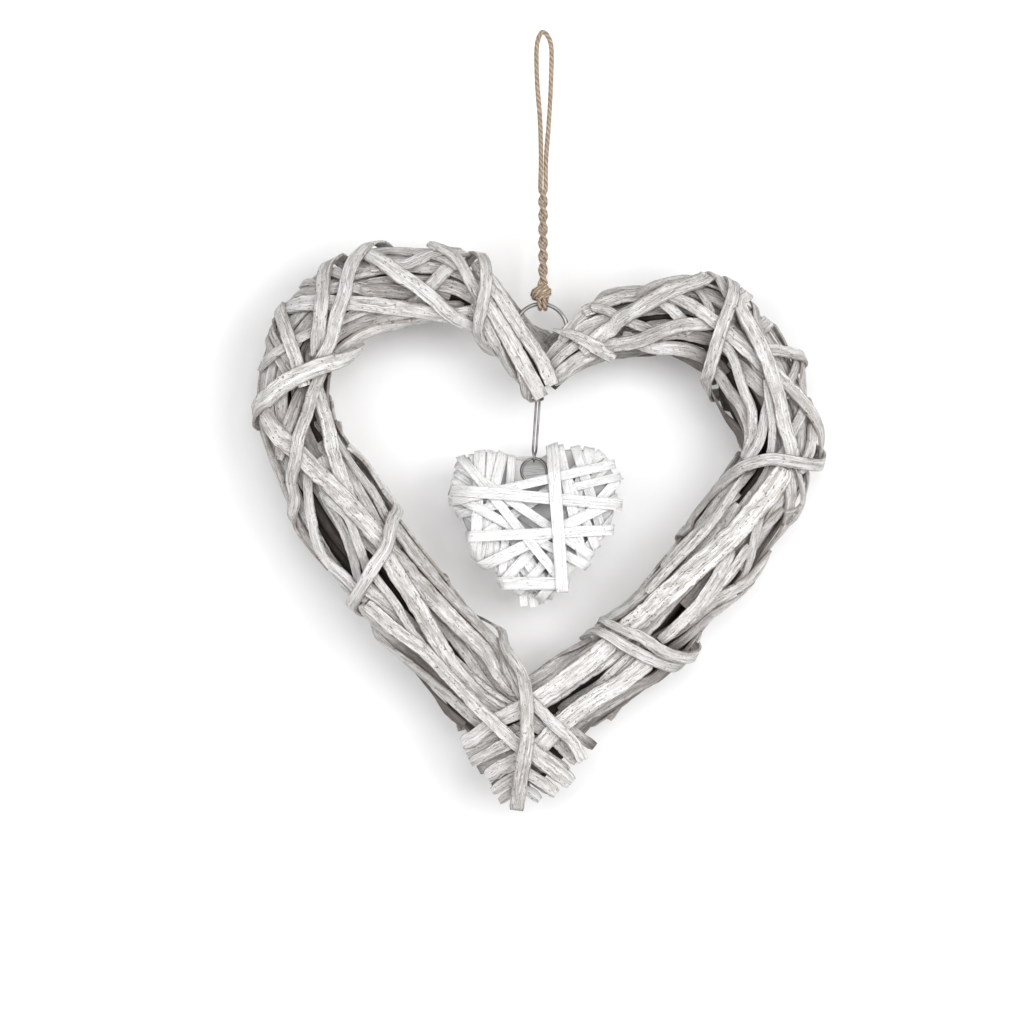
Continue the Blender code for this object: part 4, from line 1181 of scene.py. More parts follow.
class WREATH_OT_inner_rods(bpy.types.Operator):
    """Bend the round rods that the bundles are made of"""

    bl_idname = "wreath.inner_rods"
    bl_label = "Inner rods"

    RINGS = ((0.70, 9), (0.30, 4))
    UNEVEN = (-0.2, 0.2)
    WINDING = 2.2
    END_SHARE = 0.55
    END_LENGTH = 0.03

    def execute(self, context):
        sizes = context.scene.wreath_sizes
        colours = context.scene.wreath_colours
        rng = fresh_numbers(1)
        # The rods are unwashed willow, painted darker still as shade for the deep gaps between the strips.
        deep = darker(colours.bare_and_shade, 0.4)
        dark = willow("inner willow rods", colours.bare_and_shade, colours.wood, deep, cover=0.20, relief=0.6)
        for name, bundle in (("left_inner_rods", LEFT), ("right_inner_rods", RIGHT)):
            piece = Piece(name)
            for ring_share, count in self.RINGS:
                for k in range(count):
                    thick = sizes.rod_diameter * rng.uniform(*THICKNESS_RANGE)
                    turn = 2 * math.pi * (k + rng.uniform(*self.UNEVEN)) / count
                    points, out = bundle.rod(turn, self.WINDING, ring_share)
                    self.bend_rod(piece, points, out, thick, rng.random())
            piece.finish(dark, "willow_rods", nodes_named(name.replace("inner_rods", "rod_bundle")))
        return {"FINISHED"}

    def bend_rod(self, piece, points, out, thick, seed):
        """Bend one rod, thinner at its ends."""
        side, up = frame_along(points, out)
        run = run_along(points)
        shrink = np.minimum(1, self.END_SHARE + np.minimum(run, run[-1] - run) / self.END_LENGTH)
        sections = [
            [p + (s * x + u * (y - 0.5)) * thick * small for x, y in ROD_PROFILE]
            for p, s, u, small in zip(points, side, up, shrink)
        ]
        places = [[(r, 2 * x, seed) for x, y in ROD_PROFILE] for r in run]
        # The rods are given a height below the pile's bed, which paints them almost wholly in shade.
        piece.sweep(sections, places, np.full(len(points), -MM))
        PILE.add(sections[::2])


class WREATH_OT_underlay(bpy.types.Operator):
    """Lay the long strips that run along the bundles under the windings"""

    bl_idname = "wreath.underlay"
    bl_label = "Long strips underneath"

    def execute(self, context):
        for step, name, bundle in ((2, "left_under_strips", LEFT), (3, "right_under_strips", RIGHT)):
            piece = Piece(name)
            lay_underlay(piece, bundle, fresh_numbers(step))
            piece.finish(washed_willow(), "whitewashed_willow")
        return {"FINISHED"}


class WREATH_OT_back(bpy.types.Operator):
    """Wind strips over the back of both bundles"""

    bl_idname = "wreath.back"
    bl_label = "Back windings"

    def execute(self, context):
        for step, name, bundle in ((4, "left_back_strips", LEFT), (5, "right_back_strips", RIGHT)):
            piece = Piece(name)
            lay_back(piece, bundle, fresh_numbers(step))
            piece.finish(washed_willow(), "whitewashed_willow")
        return {"FINISHED"}


class WREATH_OT_arms(bpy.types.Operator):
    """Lay the long strips down both arms"""

    bl_idname = "wreath.arms"
    bl_label = "Arms"

    def execute(self, context):
        rng = fresh_numbers(6)
        left = Piece("left_arm_strips")
        lay_all(left, LEFT, LEFT_ARM, rng)
        right = Piece("right_arm_strips")
        lay_all(right, RIGHT, ROD_AT_EDGE, rng, profile=ROD_PROFILE, thickness=EDGE_ROD_THICKNESS)
        lay_all(right, RIGHT, RIGHT_ARM, rng)
        left.finish(washed_willow(), "whitewashed_willow", nodes_named("left_arm"))
        right.finish(washed_willow(), "whitewashed_willow", nodes_named("right_arm"))
        return {"FINISHED"}


class WREATH_OT_lobes(bpy.types.Operator):
    """Wind the strips of both lobes and lay the strip ends that cross at the cleft"""

    bl_idname = "wreath.lobes"
    bl_label = "Lobes and cleft"

    CLEFT_REACH = 0.006
    POINTED = (0.3, 0.8, 1.1, 0.8)

    def execute(self, context):
        rng = fresh_numbers(7)
        right = Piece("right_lobe_strips")
        lay_all(right, RIGHT, RIGHT_AT_CLEFT, rng, reach=self.CLEFT_REACH)
        lay_all(right, RIGHT, RIGHT_LOBE, rng)
        lay_flat(right, POINTED_END, rng, taper=self.POINTED)
        right.finish(washed_willow(), "whitewashed_willow", nodes_named("right_lobe", "right_cleft"))
        left = Piece("left_lobe_strips")
        cleft = Piece("cleft_strips")
        lay_all(left, LEFT, LEFT_LOBE[:-1], rng)
        lay_all(cleft, LEFT, CLEFT, rng)
        lay_flat(cleft, CLEFT_ENDS, rng)
        lay_all(left, LEFT, LEFT_LOBE[-1:], rng)
        cleft.finish(washed_willow(), "whitewashed_willow", nodes_named("cleft"))
        left.finish(washed_willow(), "whitewashed_willow", nodes_named("left_lobe", "left_shoulder"))
        return {"FINISHED"}


class WREATH_OT_tip(bpy.types.Operator):
    """Cross the strip ends at the tip and bind the heart with its ties"""

    bl_idname = "wreath.tip"
    bl_label = "Tip and ties"

    ROD_LET_IN = -0.004
    UNDER_LET_IN = -0.002
    NARROW_END = (1, 1, 0.75)
    TIE_REACH = 0.016
    TIE_LET_IN = -0.005
    TIE_TAPER = (0.5, 0.75, 1, 1.05, 1)
    NARROW_START = (0.5, 1, 1, 1, 1, 1)

    def execute(self, context):
        rng = fresh_numbers(8)
        tip = Piece("tip_strips")
        rod = {"profile": ROD_PROFILE, "thickness": CUT_ROD_THICKNESS}
        lay_flat(tip, CUT_ROD_AT_TIP, rng, floor=self.ROD_LET_IN, **rod)
        lay_flat(tip, TIP_UNDERNEATH, rng, floor=self.UNDER_LET_IN)
        lay_flat(tip, TIP_LEFTWARD, rng, taper=self.NARROW_END)
        lay_flat(tip, TIP_RIGHTWARD, rng)
        ties = Piece("ties")
        tie = {"reach": self.TIE_REACH, "floor": self.TIE_LET_IN, "taper": self.TIE_TAPER}
        lay_strip(ties, tip_tie_bed(), TIP_TIE_WIDTH, rng, **tie)
        lay_all(ties, LEFT, LEFT_TIE, rng)
        lay_all(ties, RIGHT, RIGHT_SHOULDER_TIE, rng)
        lay_all(ties, RIGHT, RIGHT_ARM_TIE, rng, taper=self.NARROW_START)
        tip.finish(washed_willow(), "whitewashed_willow", nodes_named("tip"))
        ties.finish(washed_willow(), "whitewashed_willow", nodes_named("right_shoulder"))
        return {"FINISHED"}


def round_sections(middle, radius, sides, first_side):
    """Sections of a closed round wire along a line of points, which stays near one plane."""
    along = unit(np.roll(middle, -1, axis=0) - np.roll(middle, 1, axis=0))
    side = unit(first_side - along * np.sum(along * first_side, axis=1, keepdims=True))
    other = np.cross(along, side)
    sections = []
    for point, across_it, beside in zip(middle, side, other):
        angles = np.arange(sides) * 2 * math.pi / sides
        sections.append([point + radius * (math.cos(a) * across_it + math.sin(a) * beside) for a in angles])
    return sections


def wire_circle(centre, diameter, count):
    """Points round a circle that faces the front; its diameter is between the wire's middles."""
    x, z = centre
    angles = np.arange(count) * 2 * math.pi / count
    radius = diameter / 2
    return np.stack([x + radius * np.sin(angles), 0 * angles, z + radius * np.cos(angles)], axis=1)


# The link's points down its legs and round its bends, and the shares of its length in which it turns flat
# below the ring and back at its foot

LINK_STATIONS = 61
BEND_POINTS = 9
LINK_TURNED_BY = 0.3
LINK_TURNS_BACK_IN = 0.15


def wire_link():
    """The middle of the link's wire: a long loop that straddles each ring and lies flat between them."""
    top = across(RING_MARK) - (0, RING_DIAMETER / 2)
    foot = across(SMALL_RING_MARK) + (0, SMALL_RING_DIAMETER / 2)
    straddle_top = RING_WIRE / 2 + LINK_WIRE / 2 + GAP
    straddle_foot = SMALL_RING_WIRE / 2 + LINK_WIRE / 2 + GAP
    side_by_side = LINK_WIRE / 2 + GAP
    share = np.linspace(0, 1, LINK_STATIONS)
    middle = top + (foot - top) * share[:, None]
    turned = math.pi / 2 * eased(share / LINK_TURNED_BY) * eased((1 - share) / LINK_TURNS_BACK_IN)
    ends = straddle_top + (straddle_foot - straddle_top) * share
    spread = side_by_side + (ends - side_by_side) * np.cos(turned) ** 2
    leg = np.stack([spread * np.sin(turned), spread * np.cos(turned)], axis=1)
    one = np.stack([middle[:, 0] - leg[:, 0], -leg[:, 1], middle[:, 1]], axis=1)
    other = np.stack([middle[:, 0] + leg[:, 0], leg[:, 1], middle[:, 1]], axis=1)
    bend = np.linspace(0, math.pi, BEND_POINTS + 2)[1:-1]
    over = [(top[0], -straddle_top * math.cos(a), top[1] + straddle_top * math.sin(a)) for a in bend]
    under = [(foot[0], straddle_foot * math.cos(a), foot[1] - straddle_foot * math.sin(a)) for a in bend]
    return np.array([*over, *other, *under, *one[::-1]])


class WREATH_OT_wires(bpy.types.Operator):
    """Bend the ring at the cleft, the link and the ring in the small heart"""

    bl_idname = "wreath.wires"
    bl_label = "Wires"

    SIDES = 12
    RING_POINTS = 72
    SMALL_RING_POINTS = 48
    GRAIN = 3.0

    def execute(self, context):
        colour = context.scene.wreath_colours.wire
        material = wire_material("zinc wire", darker(colour, 0.8))
        dull = wire_material("dull link wire", darker(colour, 0.55))
        forward, right = np.array((0.0, 1.0, 0.0)), np.array((1.0, 0.0, 0.0))
        circle = wire_circle(across(RING_MARK), RING_DIAMETER, self.RING_POINTS)
        small_circle = wire_circle(across(SMALL_RING_MARK), SMALL_RING_DIAMETER, self.SMALL_RING_POINTS)
        for name, node, line, wire, side in (
            ("cleft_ring", "hanging_ring", circle, RING_WIRE, forward),
            ("link_wire", "wire_link", wire_link(), LINK_WIRE, right),
            ("white_heart_ring", "small_heart_ring", small_circle, SMALL_RING_WIRE, forward),
        ):
            piece = Piece(name)
            sections = round_sections(line, wire / 2, self.SIDES, side)
            run = run_along(line)
            angles = [2 * math.pi * i / self.SIDES for i in range(self.SIDES)]
            places = [[(r, math.sin(angle), self.GRAIN) for angle in angles] for r in run]
            piece.sweep(sections, places, np.ones(len(line)), closed=True)
            if node == "hanging_ring":
                PILE.add(sections[::3], closed=True)
            piece.finish(dull if node == "wire_link" else material, "zinc_wire", [node], sharp=80)
        return {"FINISHED"}


SMALL_STRIPS_STAND_OFF = 2 * MM


def small_heart_body():
    """The small heart's body: its outline, less the strips round it, extruded and rounded off."""
    outline = [across(m) for m in SMALL_HEART_OUTLINE]
    centre = np.mean(outline, axis=0)
    inward = [(centre - p) / np.linalg.norm(centre - p) for p in outline]
    outline = [p + way * SMALL_STRIPS_STAND_OFF for p, way in zip(outline, inward)]
    bm = bmesh.new()
    front = bm.faces.new([bm.verts.new((x, -SMALL_HEART_DEPTH / 2, z)) for x, z in outline])
    made = bmesh.ops.extrude_face_region(bm, geom=[front])["geom"]
    back = [v for v in made if isinstance(v, bmesh.types.BMVert)]
    bmesh.ops.translate(bm, verts=back, vec=(0, SMALL_HEART_DEPTH, 0))
    bmesh.ops.recalc_face_normals(bm, faces=bm.faces)
    rounding = SMALL_HEART_DEPTH / 4
    rims = [e for e in bm.edges if abs(e.verts[0].co.y - e.verts[1].co.y) < rounding]
    bmesh.ops.bevel(bm, geom=rims, offset=rounding, segments=2, profile=0.5, affect="EDGES", material=-1)
    return bm


# A band round the small heart: from how far off and in how many directions its edges are felt, and how that
# line is made even and smooth

BAND_REACH = 0.08
BAND_DIRECTIONS = 90
BAND_STEP = 0.7 * MM
BAND_ROUNDS = 4

# Its stations, shared out so that this much length counts for as much as this much bend, in radians

BAND_STATIONS = 72
BAND_LENGTH = 2.5 * MM
BAND_BEND = 0.35

# The air under it, how far it is raised at a time where it cuts in, and the height that its material is
# given

BAND_AIR = 0.05 * MM
BAND_RAISED_BY = 0.15 * MM
BAND_RAISINGS = 30
BAND_HEIGHT_SHOWN = 5 * MM
PLAIN_PROFILE = ((-0.5, 0.0), (0.5, 0.0), (0.5, 1.0), (-0.5, 1.0))


def taut_loop(points):
    """Points and outward directions of a band drawn taut round the given points."""
    points = sorted(points)
    hull = []
    for chain in (points, points[::-1]):
        part = []
        for p in chain:
            while len(part) > 1 and bends_in(part[-2], part[-1], p):
                part.pop()
            part.append(p)
        hull += part[:-1]
    hull = np.array([*hull, hull[0]])
    run = run_along(hull)
    fine = read_at(np.arange(0, run[-1], BAND_STEP), run, hull)
    for _ in range(BAND_ROUNDS):
        fine = (np.roll(fine, 1, axis=0) + 2 * fine + np.roll(fine, -1, axis=0)) / 4
    ahead = unit(np.roll(fine, -1, axis=0) - np.roll(fine, 1, axis=0))
    return fine, np.stack([ahead[:, 1], -ahead[:, 0]], axis=1)


def bends_in(a, b, c):
    """Whether the middle one of three points lies inside the hull."""
    return (b[0] - a[0]) * (c[1] - a[1]) - (b[1] - a[1]) * (c[0] - a[0]) <= 0


def edge_line(centre, along, side, shares, width):
    """One edge of a band drawn taut over what the small heart has.

    Gives points, as distances along the band's front line and back from it, and their outward directions.
    """
    felt = []
    for angle in np.arange(BAND_DIRECTIONS) * 2 * math.pi / BAND_DIRECTIONS:
        toward = np.array((along[0] * math.cos(angle), -math.sin(angle), along[1] * math.cos(angle)))
        far = 0.0
        for share in shares:
            start = np.array((centre[0], 0.0, centre[1])) + side * width * share
            origin = Vector(start + toward * BAND_REACH)
            hits = (tree.ray_cast(origin, Vector(-toward), BAND_REACH)[3] for tree in SMALL_PILE.trees)
            far = max([far, *(BAND_REACH - hit for hit in hits if hit is not None)])
        felt.append((far * math.cos(angle), far * math.sin(angle)))
    line, out = taut_loop(felt)
    closed = np.vstack([line, line[:1]])
    turned = np.vstack([out, out[:1]])
    pace = run_along(closed) / BAND_LENGTH + run_along(turned) / BAND_BEND
    places = np.arange(BAND_STATIONS) / BAND_STATIONS * pace[-1]
    return read_at(places, pace, closed), unit(read_at(places, pace, turned))


def wind_band(piece, start, end, width, thickness, rng):
    """Wind one strip round the small heart, in the plane of its front line, each edge taut."""
    start, end = across(start), across(end)
    centre = (start + end) / 2
    along = unit(end - start)
    side = np.array((along[1], 0.0, -along[0]))
    near = edge_line(centre, along, side, (-0.5, -0.25, 0), width)
    far = edge_line(centre, along, side, (0, 0.25, 0.5), width)
    lift = np.full(BAND_STATIONS, BAND_AIR)

    def corners(profile):
        sections = []
        for k in range(BAND_STATIONS):
            section = []
            for x, y in profile:
                run, deep = near[0][k] + (far[0][k] - near[0][k]) * (x + 0.5)
                lean, away = near[1][k] + (far[1][k] - near[1][k]) * (x + 0.5)
                run, deep = run + lean * (lift[k] + thickness * y), deep + away * (lift[k] + thickness * y)
                point = np.array((centre[0] + along[0] * run, -deep, centre[1] + along[1] * run))
                section.append(point + side * width * x)
            sections.append(section)
        return sections

    for _ in range(BAND_RAISINGS):
        struck = SMALL_PILE.struck(corners(PLAIN_PROFILE), closed=True)
        if not struck:
            break
        lift[struck] += BAND_RAISED_BY
        for _ in range(2):
            lift = np.maximum(lift, (np.roll(lift, 1) + 2 * lift + np.roll(lift, -1)) / 4)
    SMALL_PILE.add(corners(PLAIN_PROFILE), closed=True)
    run = run_along(near[0])
    seed = rng.random()
    places = [[(r, 2 * x, seed) for x, y in STRIP_PROFILE] for r in run]
    piece.sweep(corners(STRIP_PROFILE), places, np.full(len(run), BAND_HEIGHT_SHOWN), closed=True)


class WREATH_OT_small_heart(bpy.types.Operator):
    """Wind the small white heart"""

    bl_idname = "wreath.small_heart"
    bl_label = "Small white heart"

    END_WIDTH = 3.8 * MM
    END_POINTS = 6
    END_PLACE = -0.5 * MM
    BEHIND_WIDTH = 7 * MM
    HOLE_SIDES = 40

    def execute(self, context):
        colours = context.scene.wreath_colours
        thickness = context.scene.wreath_sizes.small_strip_thickness
        rng = fresh_numbers(9)
        grey, worn = darker(colours.white, 0.86), darker(colours.white, 0.5)
        white = willow("white painted willow", grey, colours.white, worn, cover=1.35, relief=0.7)
        # The body is a darker copy of the white paint: painted shade for the inside seen between the
        # windings. It carries no height either, which paints it further into shade.
        dusk, dark = darker(grey, 0.82), darker(grey, 0.55)
        shade = willow("white willow inside", dusk, grey, dark, cover=0.9, relief=0.4)
        body_bm = small_heart_body()
        body_bm.verts.index_update()
        plain = ([tuple(v.co) for v in body_bm.verts], [[v.index for v in f.verts] for f in body_bm.faces])
        SMALL_PILE.settled = plain
        SMALL_PILE.trees = [BVHTree.FromPolygons(*plain)]
        body = Piece("white_heart_body")
        body.bm.free()
        body.bm = body_bm
        core = body.finish(shade, "white_willow", ["small_heart_core"], sharp=30)
        self.bore(core)
        windings = Piece("white_heart_strips")
        for width, start, end in SMALL_WINDINGS:
            wind_band(windings, start, end, width * MM, thickness, rng)
        for start, end in SMALL_TIP_ENDS:
            self.cut_end(windings, across(start), across(end), thickness, rng, self.END_WIDTH, self.END_PLACE)
        behind = SMALL_HEART_DEPTH / 2 + 2 * thickness
        for start, end in BEHIND_THE_RING:
            self.cut_end(windings, across(start), across(end), thickness, rng, self.BEHIND_WIDTH, behind)
        strips = [n for n in nodes_named("small_heart") if n not in ("small_heart_core", "small_heart_ring")]
        windings.finish(white, "white_willow", strips)
        return {"FINISHED"}

    def bore(self, core):
        """Cut the hole for the ring."""
        x, z = across(SMALL_RING_MARK)
        cutter_bm = bmesh.new()
        radius, length = SMALL_HOLE_WIDTH / 2, 3 * SMALL_HEART_DEPTH
        bmesh.ops.create_cone(
            cutter_bm, cap_ends=True, segments=self.HOLE_SIDES, radius1=radius, radius2=radius, depth=length
        )
        bmesh.ops.rotate(cutter_bm, verts=cutter_bm.verts, matrix=Matrix.Rotation(math.pi / 2, 3, "X"))
        bmesh.ops.translate(cutter_bm, verts=cutter_bm.verts, vec=(x, 0, z))
        mesh = bpy.data.meshes.new("hole cutter")
        cutter_bm.to_mesh(mesh)
        cutter_bm.free()
        cutter = bpy.data.objects.new("hole_cutter", mesh)
        bpy.context.scene.collection.objects.link(cutter)
        hole = core.modifiers.new("ring hole", "BOOLEAN")
        hole.operation = "DIFFERENCE"
        hole.object = cutter
        bpy.context.view_layer.update()
        cut = bpy.data.meshes.new_from_object(core.evaluated_get(bpy.context.evaluated_depsgraph_get()))
        core.modifiers.clear()
        core.data = cut
        bpy.data.objects.remove(cutter, do_unlink=True)

    def cut_end(self, piece, start, end, thickness, rng, width, deep):
        """A short straight strip: an end that stands out under the tip, or a strip behind the ring."""
        line = np.linspace(start, end, self.END_POINTS)
        lean = unit(end - start)
        seed = rng.random()
        sections = []
        for x, z in line:
            section = []
            for a, b in STRIP_PROFILE:
                section.append((x + lean[1] * width * a, deep - thickness * b, z - lean[0] * width * a))
            sections.append(section)
        places = [[(k * MM, 2 * a, seed) for a, b in STRIP_PROFILE] for k in range(len(line))]
        piece.sweep(sections, places, np.full(len(line), BAND_HEIGHT_SHOWN))


def loop_route():
    """The twine's middle: up one strand of the twist, round the open loop, and down the other strand."""
    top = across(TWIST_START_MARK)
    foot = across(TWIST_END_MARK)
    apart = (TWINE + GAP) / 2
    share = np.linspace(0, 1, TWIST_STATIONS)
    angle = share * TWIST_TURNS * 2 * math.pi
    middle = top + (foot - top) * share[:, None]
    strands = []
    for side in (-1, 1):
        x = middle[:, 0] + side * apart * np.cos(angle)
        strands.append(np.stack([x, side * apart * np.sin(angle), middle[:, 1]], axis=1))

    def place(mark):
        x, z = across(mark)
        return (x, 0.0, z)

    up_left, down_right = [place(m) for m in OPEN_LOOP[::-1]], [place(m) for m in OPEN_LOOP_RIGHT]
    round_loop = [*up_left, place(LOOP_TOP_MARK), *down_right]
    return smooth_through(np.vstack([strands[0][::-1], round_loop, strands[1]]), MM)


# The twine: its plies, the length in which they turn once, its sections, the share of its radius that the
# grooves between the plies are deep, the share by which it is thicker and thinner, and a direction across
# it

PLIES = 3
LAY = 8.5 * MM
TWINE_STEP = 0.6 * MM
TWINE_CORNERS = 15
GROOVE = 0.20
UNEVENNESS = 0.05
FIRST_SIDEWAYS = (0.3, 1.0, 0.1)

# Its stray fibres: how many to the metre, their lengths in millimetres, their radii at the root and at
# the end, how much they stand off, run along and stray, and where in the twine they are rooted

FUZZ_PER_METRE = 1500
FUZZ_LENGTHS = (0.6, 2.2)
FUZZ_RADII = (0.035 * MM, 0.012 * MM)
FUZZ_OFF = (0.25, 1.0)
FUZZ_ALONG = (0.4, 1.4)
FUZZ_STRAY = 0.15
FUZZ_ROOTED_AT = 0.42


def turning_frame(line):
    """Two directions across a line that turn as little as they can along it."""
    along = unit(np.gradient(line, axis=0))
    side = np.cross(along[0], FIRST_SIDEWAYS)
    sides = []
    for a in along:
        side = side - a * np.dot(a, side)
        side = side / np.linalg.norm(side)
        sides.append(side)
    sides = np.array(sides)
    return sides, np.cross(along, sides)


def spin_twine(piece, line, rng):
    """Twine of twisted plies along a line."""
    run = run_along(line)
    even = np.linspace(0, run[-1], round(run[-1] / TWINE_STEP) + 1)
    line = read_at(even, run, line)
    sides, others = turning_frame(line)
    angles = np.arange(TWINE_CORNERS) * 2 * math.pi / TWINE_CORNERS
    uneven = 1 + wandering(rng, len(line), TWINE_STEP, UNEVENNESS)
    sections, places, grooves = [], [], []
    seed = rng.random() * 50
    for k, middle in enumerate(line):
        turned = angles + 2 * math.pi * even[k] / LAY
        ridge = np.abs(np.cos(PLIES * turned / 2))
        reach = TWINE / 2 * (1 - GROOVE + GROOVE * ridge) * uneven[k]
        section = []
        for angle, far in zip(angles, reach):
            section.append(middle + far * (math.cos(angle) * sides[k] + math.sin(angle) * others[k]))
        sections.append(section)
        places.append([(even[k], PLIES * t / math.pi, seed) for t in turned])
        # The ridge share goes to the material as the height, which paints shade in the grooves.
        grooves.append(ridge)
    piece.sweep(sections, places, grooves)
    return line, sides, others


def add_fuzz(piece, line, sides, others, rng):
    """Stray fibres that stand off the twine."""
    for _ in range(round(run_along(line)[-1] * FUZZ_PER_METRE)):
        k = int(rng.integers(2, len(line) - 2))
        angle = rng.uniform(0, 2 * math.pi)
        off = math.cos(angle) * sides[k] + math.sin(angle) * others[k]
        along = unit(line[k + 1] - line[k - 1]) * rng.choice((-1, 1))
        way = off * rng.uniform(*FUZZ_OFF) + along * rng.uniform(*FUZZ_ALONG)
        way = unit(way + rng.normal(0, FUZZ_STRAY, 3))
        size = rng.uniform(*FUZZ_LENGTHS) * MM
        root = line[k] + off * TWINE * FUZZ_ROOTED_AT
        turn = Vector((0, 0, 1)).rotation_difference(Vector(way)).to_matrix().to_4x4()
        middle = Matrix.Translation(Vector(root + way * size / 2)) @ turn
        thick, thin = FUZZ_RADII
        bmesh.ops.create_cone(
            piece.bm, cap_ends=True, segments=3, radius1=thick, radius2=thin, depth=size, matrix=middle
        )


class WREATH_OT_twine(bpy.types.Operator):
    """Twist the jute loop and tie it on the ring"""

    bl_idname = "wreath.twine"
    bl_label = "Jute loop and knot"

    # The turns round the ring: their places across it in diameters of the twine, how far each climbs in a
    # turn, how far it stands over the ring's middle, and its points

    RING_TURNS_AT = (-0.55, 0.55)
    RING_TURN_CLIMB = 0.25 * MM
    RING_TURN_OVER = 0.2 * MM
    RING_TURN_POINTS = 24

    # The strands from the twist down to them: how far apart they start and how far above the knot

    STRANDS_APART = 0.8 * MM
    STRANDS_ABOVE = 1.6

    # The knot's own turns: their number, their points, how full the knot is at its ends, the power that
    # moves its fullest place up, how deep it is for its width, and how far and from which angle on its
    # turns are tilted

    KNOT_TURNS = 3.4
    KNOT_POINTS = 80
    KNOT_ENDS = 0.62
    KNOT_MOVED_UP = 0.8
    KNOT_FLATNESS = 0.8
    KNOT_TILT = 0.9 * MM
    KNOT_TILT_FROM = 0.8

    def execute(self, context):
        material = jute_material(context.scene.wreath_colours.jute)
        rng = fresh_numbers(10)
        route = loop_route()
        loop = Piece("jute_twine")
        fuzz = Piece("jute_fuzz")
        add_fuzz(fuzz, *spin_twine(loop, route, rng), rng)
        knot = Piece("jute_knot_turns")
        for turn_line in self.knot_lines():
            add_fuzz(fuzz, *spin_twine(knot, turn_line, rng), rng)
        loop_piece = loop.finish(material, "jute", ["jute_loop"], sharp=180)
        knot_piece = knot.finish(material, "jute", ["jute_knot"], sharp=180)
        fuzz_piece = fuzz.finish(material, "jute", sharp=180)
        return {"FINISHED"}

    def knot_lines(self):
        """The turns of the knot above the ring, the turns round the ring, and the strands between."""
        foot = across(RING_MARK)
        ring_top = foot[1] + RING_DIAMETER / 2
        low = ring_top + RING_WIRE / 2 + GAP + TWINE / 2
        high = across(TWIST_END_MARK)[1] - TWINE
        lines = [self.knot_wraps(foot[0], low, high)]
        for side in self.RING_TURNS_AT:
            at = foot[0] + side * TWINE
            lines.append(self.ring_turn(at, ring_top))
            top = (foot[0] + side * self.STRANDS_APART, 0.0, high + self.STRANDS_ABOVE * TWINE)
            lines.append(np.array([top, (at, 0.0, (high + low) / 2), (at, 0.0, low)]))
        return [smooth_through(line, MM) for line in lines]

    def knot_wraps(self, middle, low, high):
        """The line that winds down round the knot."""
        share = np.linspace(0, 1, self.KNOT_POINTS)
        full = self.KNOT_ENDS + (1 - self.KNOT_ENDS) * np.sin(math.pi * share**self.KNOT_MOVED_UP)
        swell = (KNOT_FULLNESS - TWINE) / 2 * full
        turned = 2 * math.pi * self.KNOT_TURNS * share
        tilt = self.KNOT_TILT * np.sin(turned + self.KNOT_TILT_FROM)
        wide, deep = middle + swell * np.cos(turned), -self.KNOT_FLATNESS * swell * np.sin(turned)
        return np.stack([wide, deep, high + (low - high) * share + tilt], axis=1)

    def ring_turn(self, at, ring_top):
        """One turn round the ring."""
        radius = RING_WIRE / 2 + TWINE / 2 + 2 * GAP
        angle = np.linspace(0, 2 * math.pi, self.RING_TURN_POINTS + 1)[:-1]
        up = ring_top + self.RING_TURN_OVER + radius * np.cos(angle)
        return np.stack([at + self.RING_TURN_CLIMB * angle, -radius * np.sin(angle), up], axis=1)


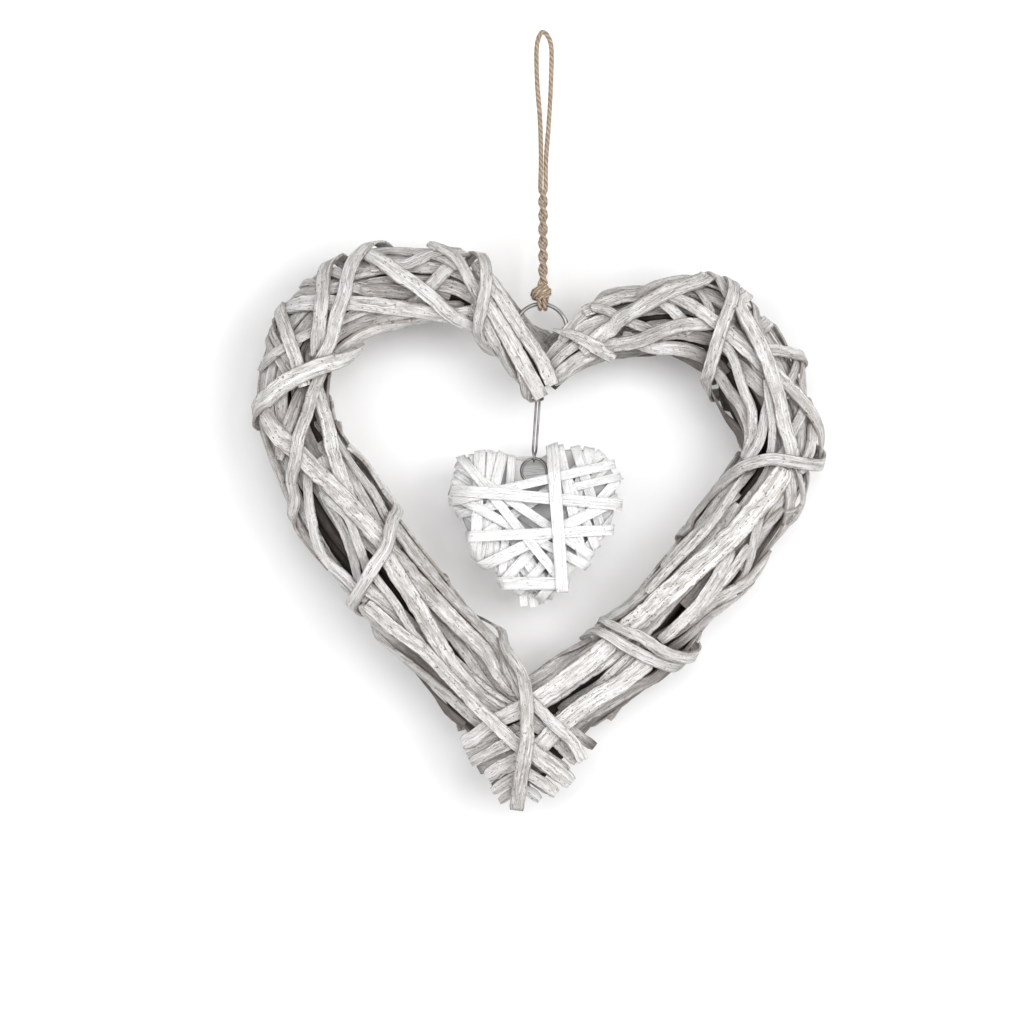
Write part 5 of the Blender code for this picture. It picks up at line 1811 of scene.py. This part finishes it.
class WREATH_OT_stage(bpy.types.Operator):
    """Set up the wall, the floor, the lights and the camera"""

    bl_idname = "wreath.stage"
    bl_label = "Stage"

    # The places of the wall and the floor, their size, and their paint's colour and roughness

    WALL = 0.0285
    FLOOR = -0.75
    SIDE = 3.2
    PAINT = (0.79, 0.79, 0.79, 1)
    MATT = 0.9

    # The camera's sensor in millimetres, and the nearest it sees

    SENSOR = 36
    NEAREST = 0.05

    # The lights: their names, places, sizes and powers, and how far above the picture's middle they are
    # aimed

    LIGHTS = (
        ("key", (0.9, -1.3, 0.0), 0.9, 16.0),
        ("fill", (-0.85, -1.35, 0.0), 0.9, 9.0),
        ("front", (0.1, -2.1, 0.3), 0.9, 15.0),
        ("back", (0.3, 1.7, 0.2), 1.2, 22.0),
    )
    AIMED_ABOVE = 0.02
    SOFT_LIGHT = 0.25

    def execute(self, context):
        paint = self.pale_paint()
        self.backdrop("wall", (0, self.WALL, self.FLOOR + self.SIDE / 2), paint, math.pi / 2)
        self.backdrop("floor", (0, self.WALL - self.SIDE / 2, self.FLOOR), paint, 0)
        x, z = across((PICTURE_SIDE / 2, PICTURE_SIDE / 2))
        self.camera(context.scene, (x, -CAMERA_DISTANCE, z))
        target = Vector((x, 0, z + self.AIMED_ABOVE))
        for name, place, size, power in self.LIGHTS:
            self.light(name, place, target, size, power)
        world = bpy.data.worlds.new("soft room")
        world.use_nodes = True
        world.node_tree.nodes["Background"].inputs["Color"].default_value = (1, 1, 1, 1)
        world.node_tree.nodes["Background"].inputs["Strength"].default_value = self.SOFT_LIGHT
        context.scene.world = world
        context.scene.view_settings.view_transform = "Standard"
        return {"FINISHED"}

    def camera(self, scene, place):
        """A camera that sees the photograph's frame, straight from the front."""
        camera = bpy.data.cameras.new("camera")
        camera.sensor_width = self.SENSOR
        camera.lens = self.SENSOR * CAMERA_DISTANCE / (PICTURE_SIDE * STEP)
        camera.clip_start = self.NEAREST
        holder = bpy.data.objects.new("camera", camera)
        holder.location = place
        holder.rotation_euler = (math.pi / 2, 0, 0)
        scene.collection.objects.link(holder)
        scene.camera = holder

    def backdrop(self, name, place, paint, turn):
        """A painted square, level or turned to stand behind the wreath."""
        bm = bmesh.new()
        bmesh.ops.create_grid(bm, x_segments=1, y_segments=1, size=self.SIDE / 2)
        bmesh.ops.rotate(bm, verts=bm.verts, matrix=Matrix.Rotation(turn, 3, "X"))
        bmesh.ops.translate(bm, verts=bm.verts, vec=place)
        mesh = bpy.data.meshes.new(name)
        bm.to_mesh(mesh)
        bm.free()
        mesh.materials.append(paint)
        piece = bpy.data.objects.new(name, mesh)
        bpy.context.scene.collection.objects.link(piece)

    def pale_paint(self):
        """Matt pale paint, which isn't there from behind, nor for the light that comes from there."""
        paint = bpy.data.materials.new("pale paint")
        tree, shader = tree_of(paint)
        shader.inputs["Base Color"].default_value = self.PAINT
        shader.inputs["Roughness"].default_value = self.MATT
        behind = placed(tree, "ShaderNodeNewGeometry").outputs["Backfacing"]
        lighting = placed(tree, "ShaderNodeLightPath").outputs["Is Shadow Ray"]
        clear = placed(tree, "ShaderNodeBsdfTransparent").outputs["BSDF"]
        seen = placed(tree, "ShaderNodeMixShader", {1: shader.outputs["BSDF"], 2: clear})
        tree.links.new(maths(tree, "MAXIMUM", behind, lighting), seen.inputs["Fac"])
        tree.links.new(seen.outputs[0], tree.nodes["Material Output"].inputs["Surface"])
        return paint

    def light(self, name, place, target, size, power):
        """A square lamp that isn't seen itself."""
        lamp = bpy.data.lights.new(name, "AREA")
        lamp.size = size
        lamp.energy = power
        holder = bpy.data.objects.new(name, lamp)
        holder.visible_camera = False
        holder.location = place
        holder.rotation_euler = (target - Vector(place)).to_track_quat("-Z", "Y").to_euler()
        bpy.context.scene.collection.objects.link(holder)


class WREATH_PT_panel(bpy.types.Panel):
    """The wreath's sizes, colours and steps"""

    bl_idname = "WREATH_PT_panel"
    bl_label = "Willow heart wreath"
    bl_space_type = "VIEW_3D"
    bl_region_type = "UI"
    bl_category = "Wreath"

    def draw(self, context):
        """Lay out the sizes, the colours and a button for each step."""
        for group in (context.scene.wreath_sizes, context.scene.wreath_colours):
            box = self.layout.box()
            for name in group.__annotations__:
                box.prop(group, name)
        for step in STEPS:
            self.layout.operator(step.bl_idname)


# In the order in which they are made: each strip is laid on what is there before it

STEPS = (
    WREATH_OT_stage,
    WREATH_OT_twine,
    WREATH_OT_wires,
    WREATH_OT_inner_rods,
    WREATH_OT_underlay,
    WREATH_OT_back,
    WREATH_OT_arms,
    WREATH_OT_lobes,
    WREATH_OT_tip,
    WREATH_OT_small_heart,
)
CLASSES = (WreathSizes, WreathColours, *STEPS, WREATH_PT_panel)


def register():
    """Add the classes and the scene's settings."""
    for item in CLASSES:
        bpy.utils.register_class(item)
    bpy.types.Scene.wreath_sizes = PointerProperty(type=WreathSizes)
    bpy.types.Scene.wreath_colours = PointerProperty(type=WreathColours)


def unregister():
    """Take the scene's settings and the classes away again."""
    del bpy.types.Scene.wreath_colours
    del bpy.types.Scene.wreath_sizes
    for item in reversed(CLASSES):
        bpy.utils.unregister_class(item)


def main():
    """Make the wreath step by step."""
    register()
    for step in STEPS:
        group, name = step.bl_idname.split(".")
        getattr(getattr(bpy.ops, group), name)()


if __name__ == "__main__":
    main()
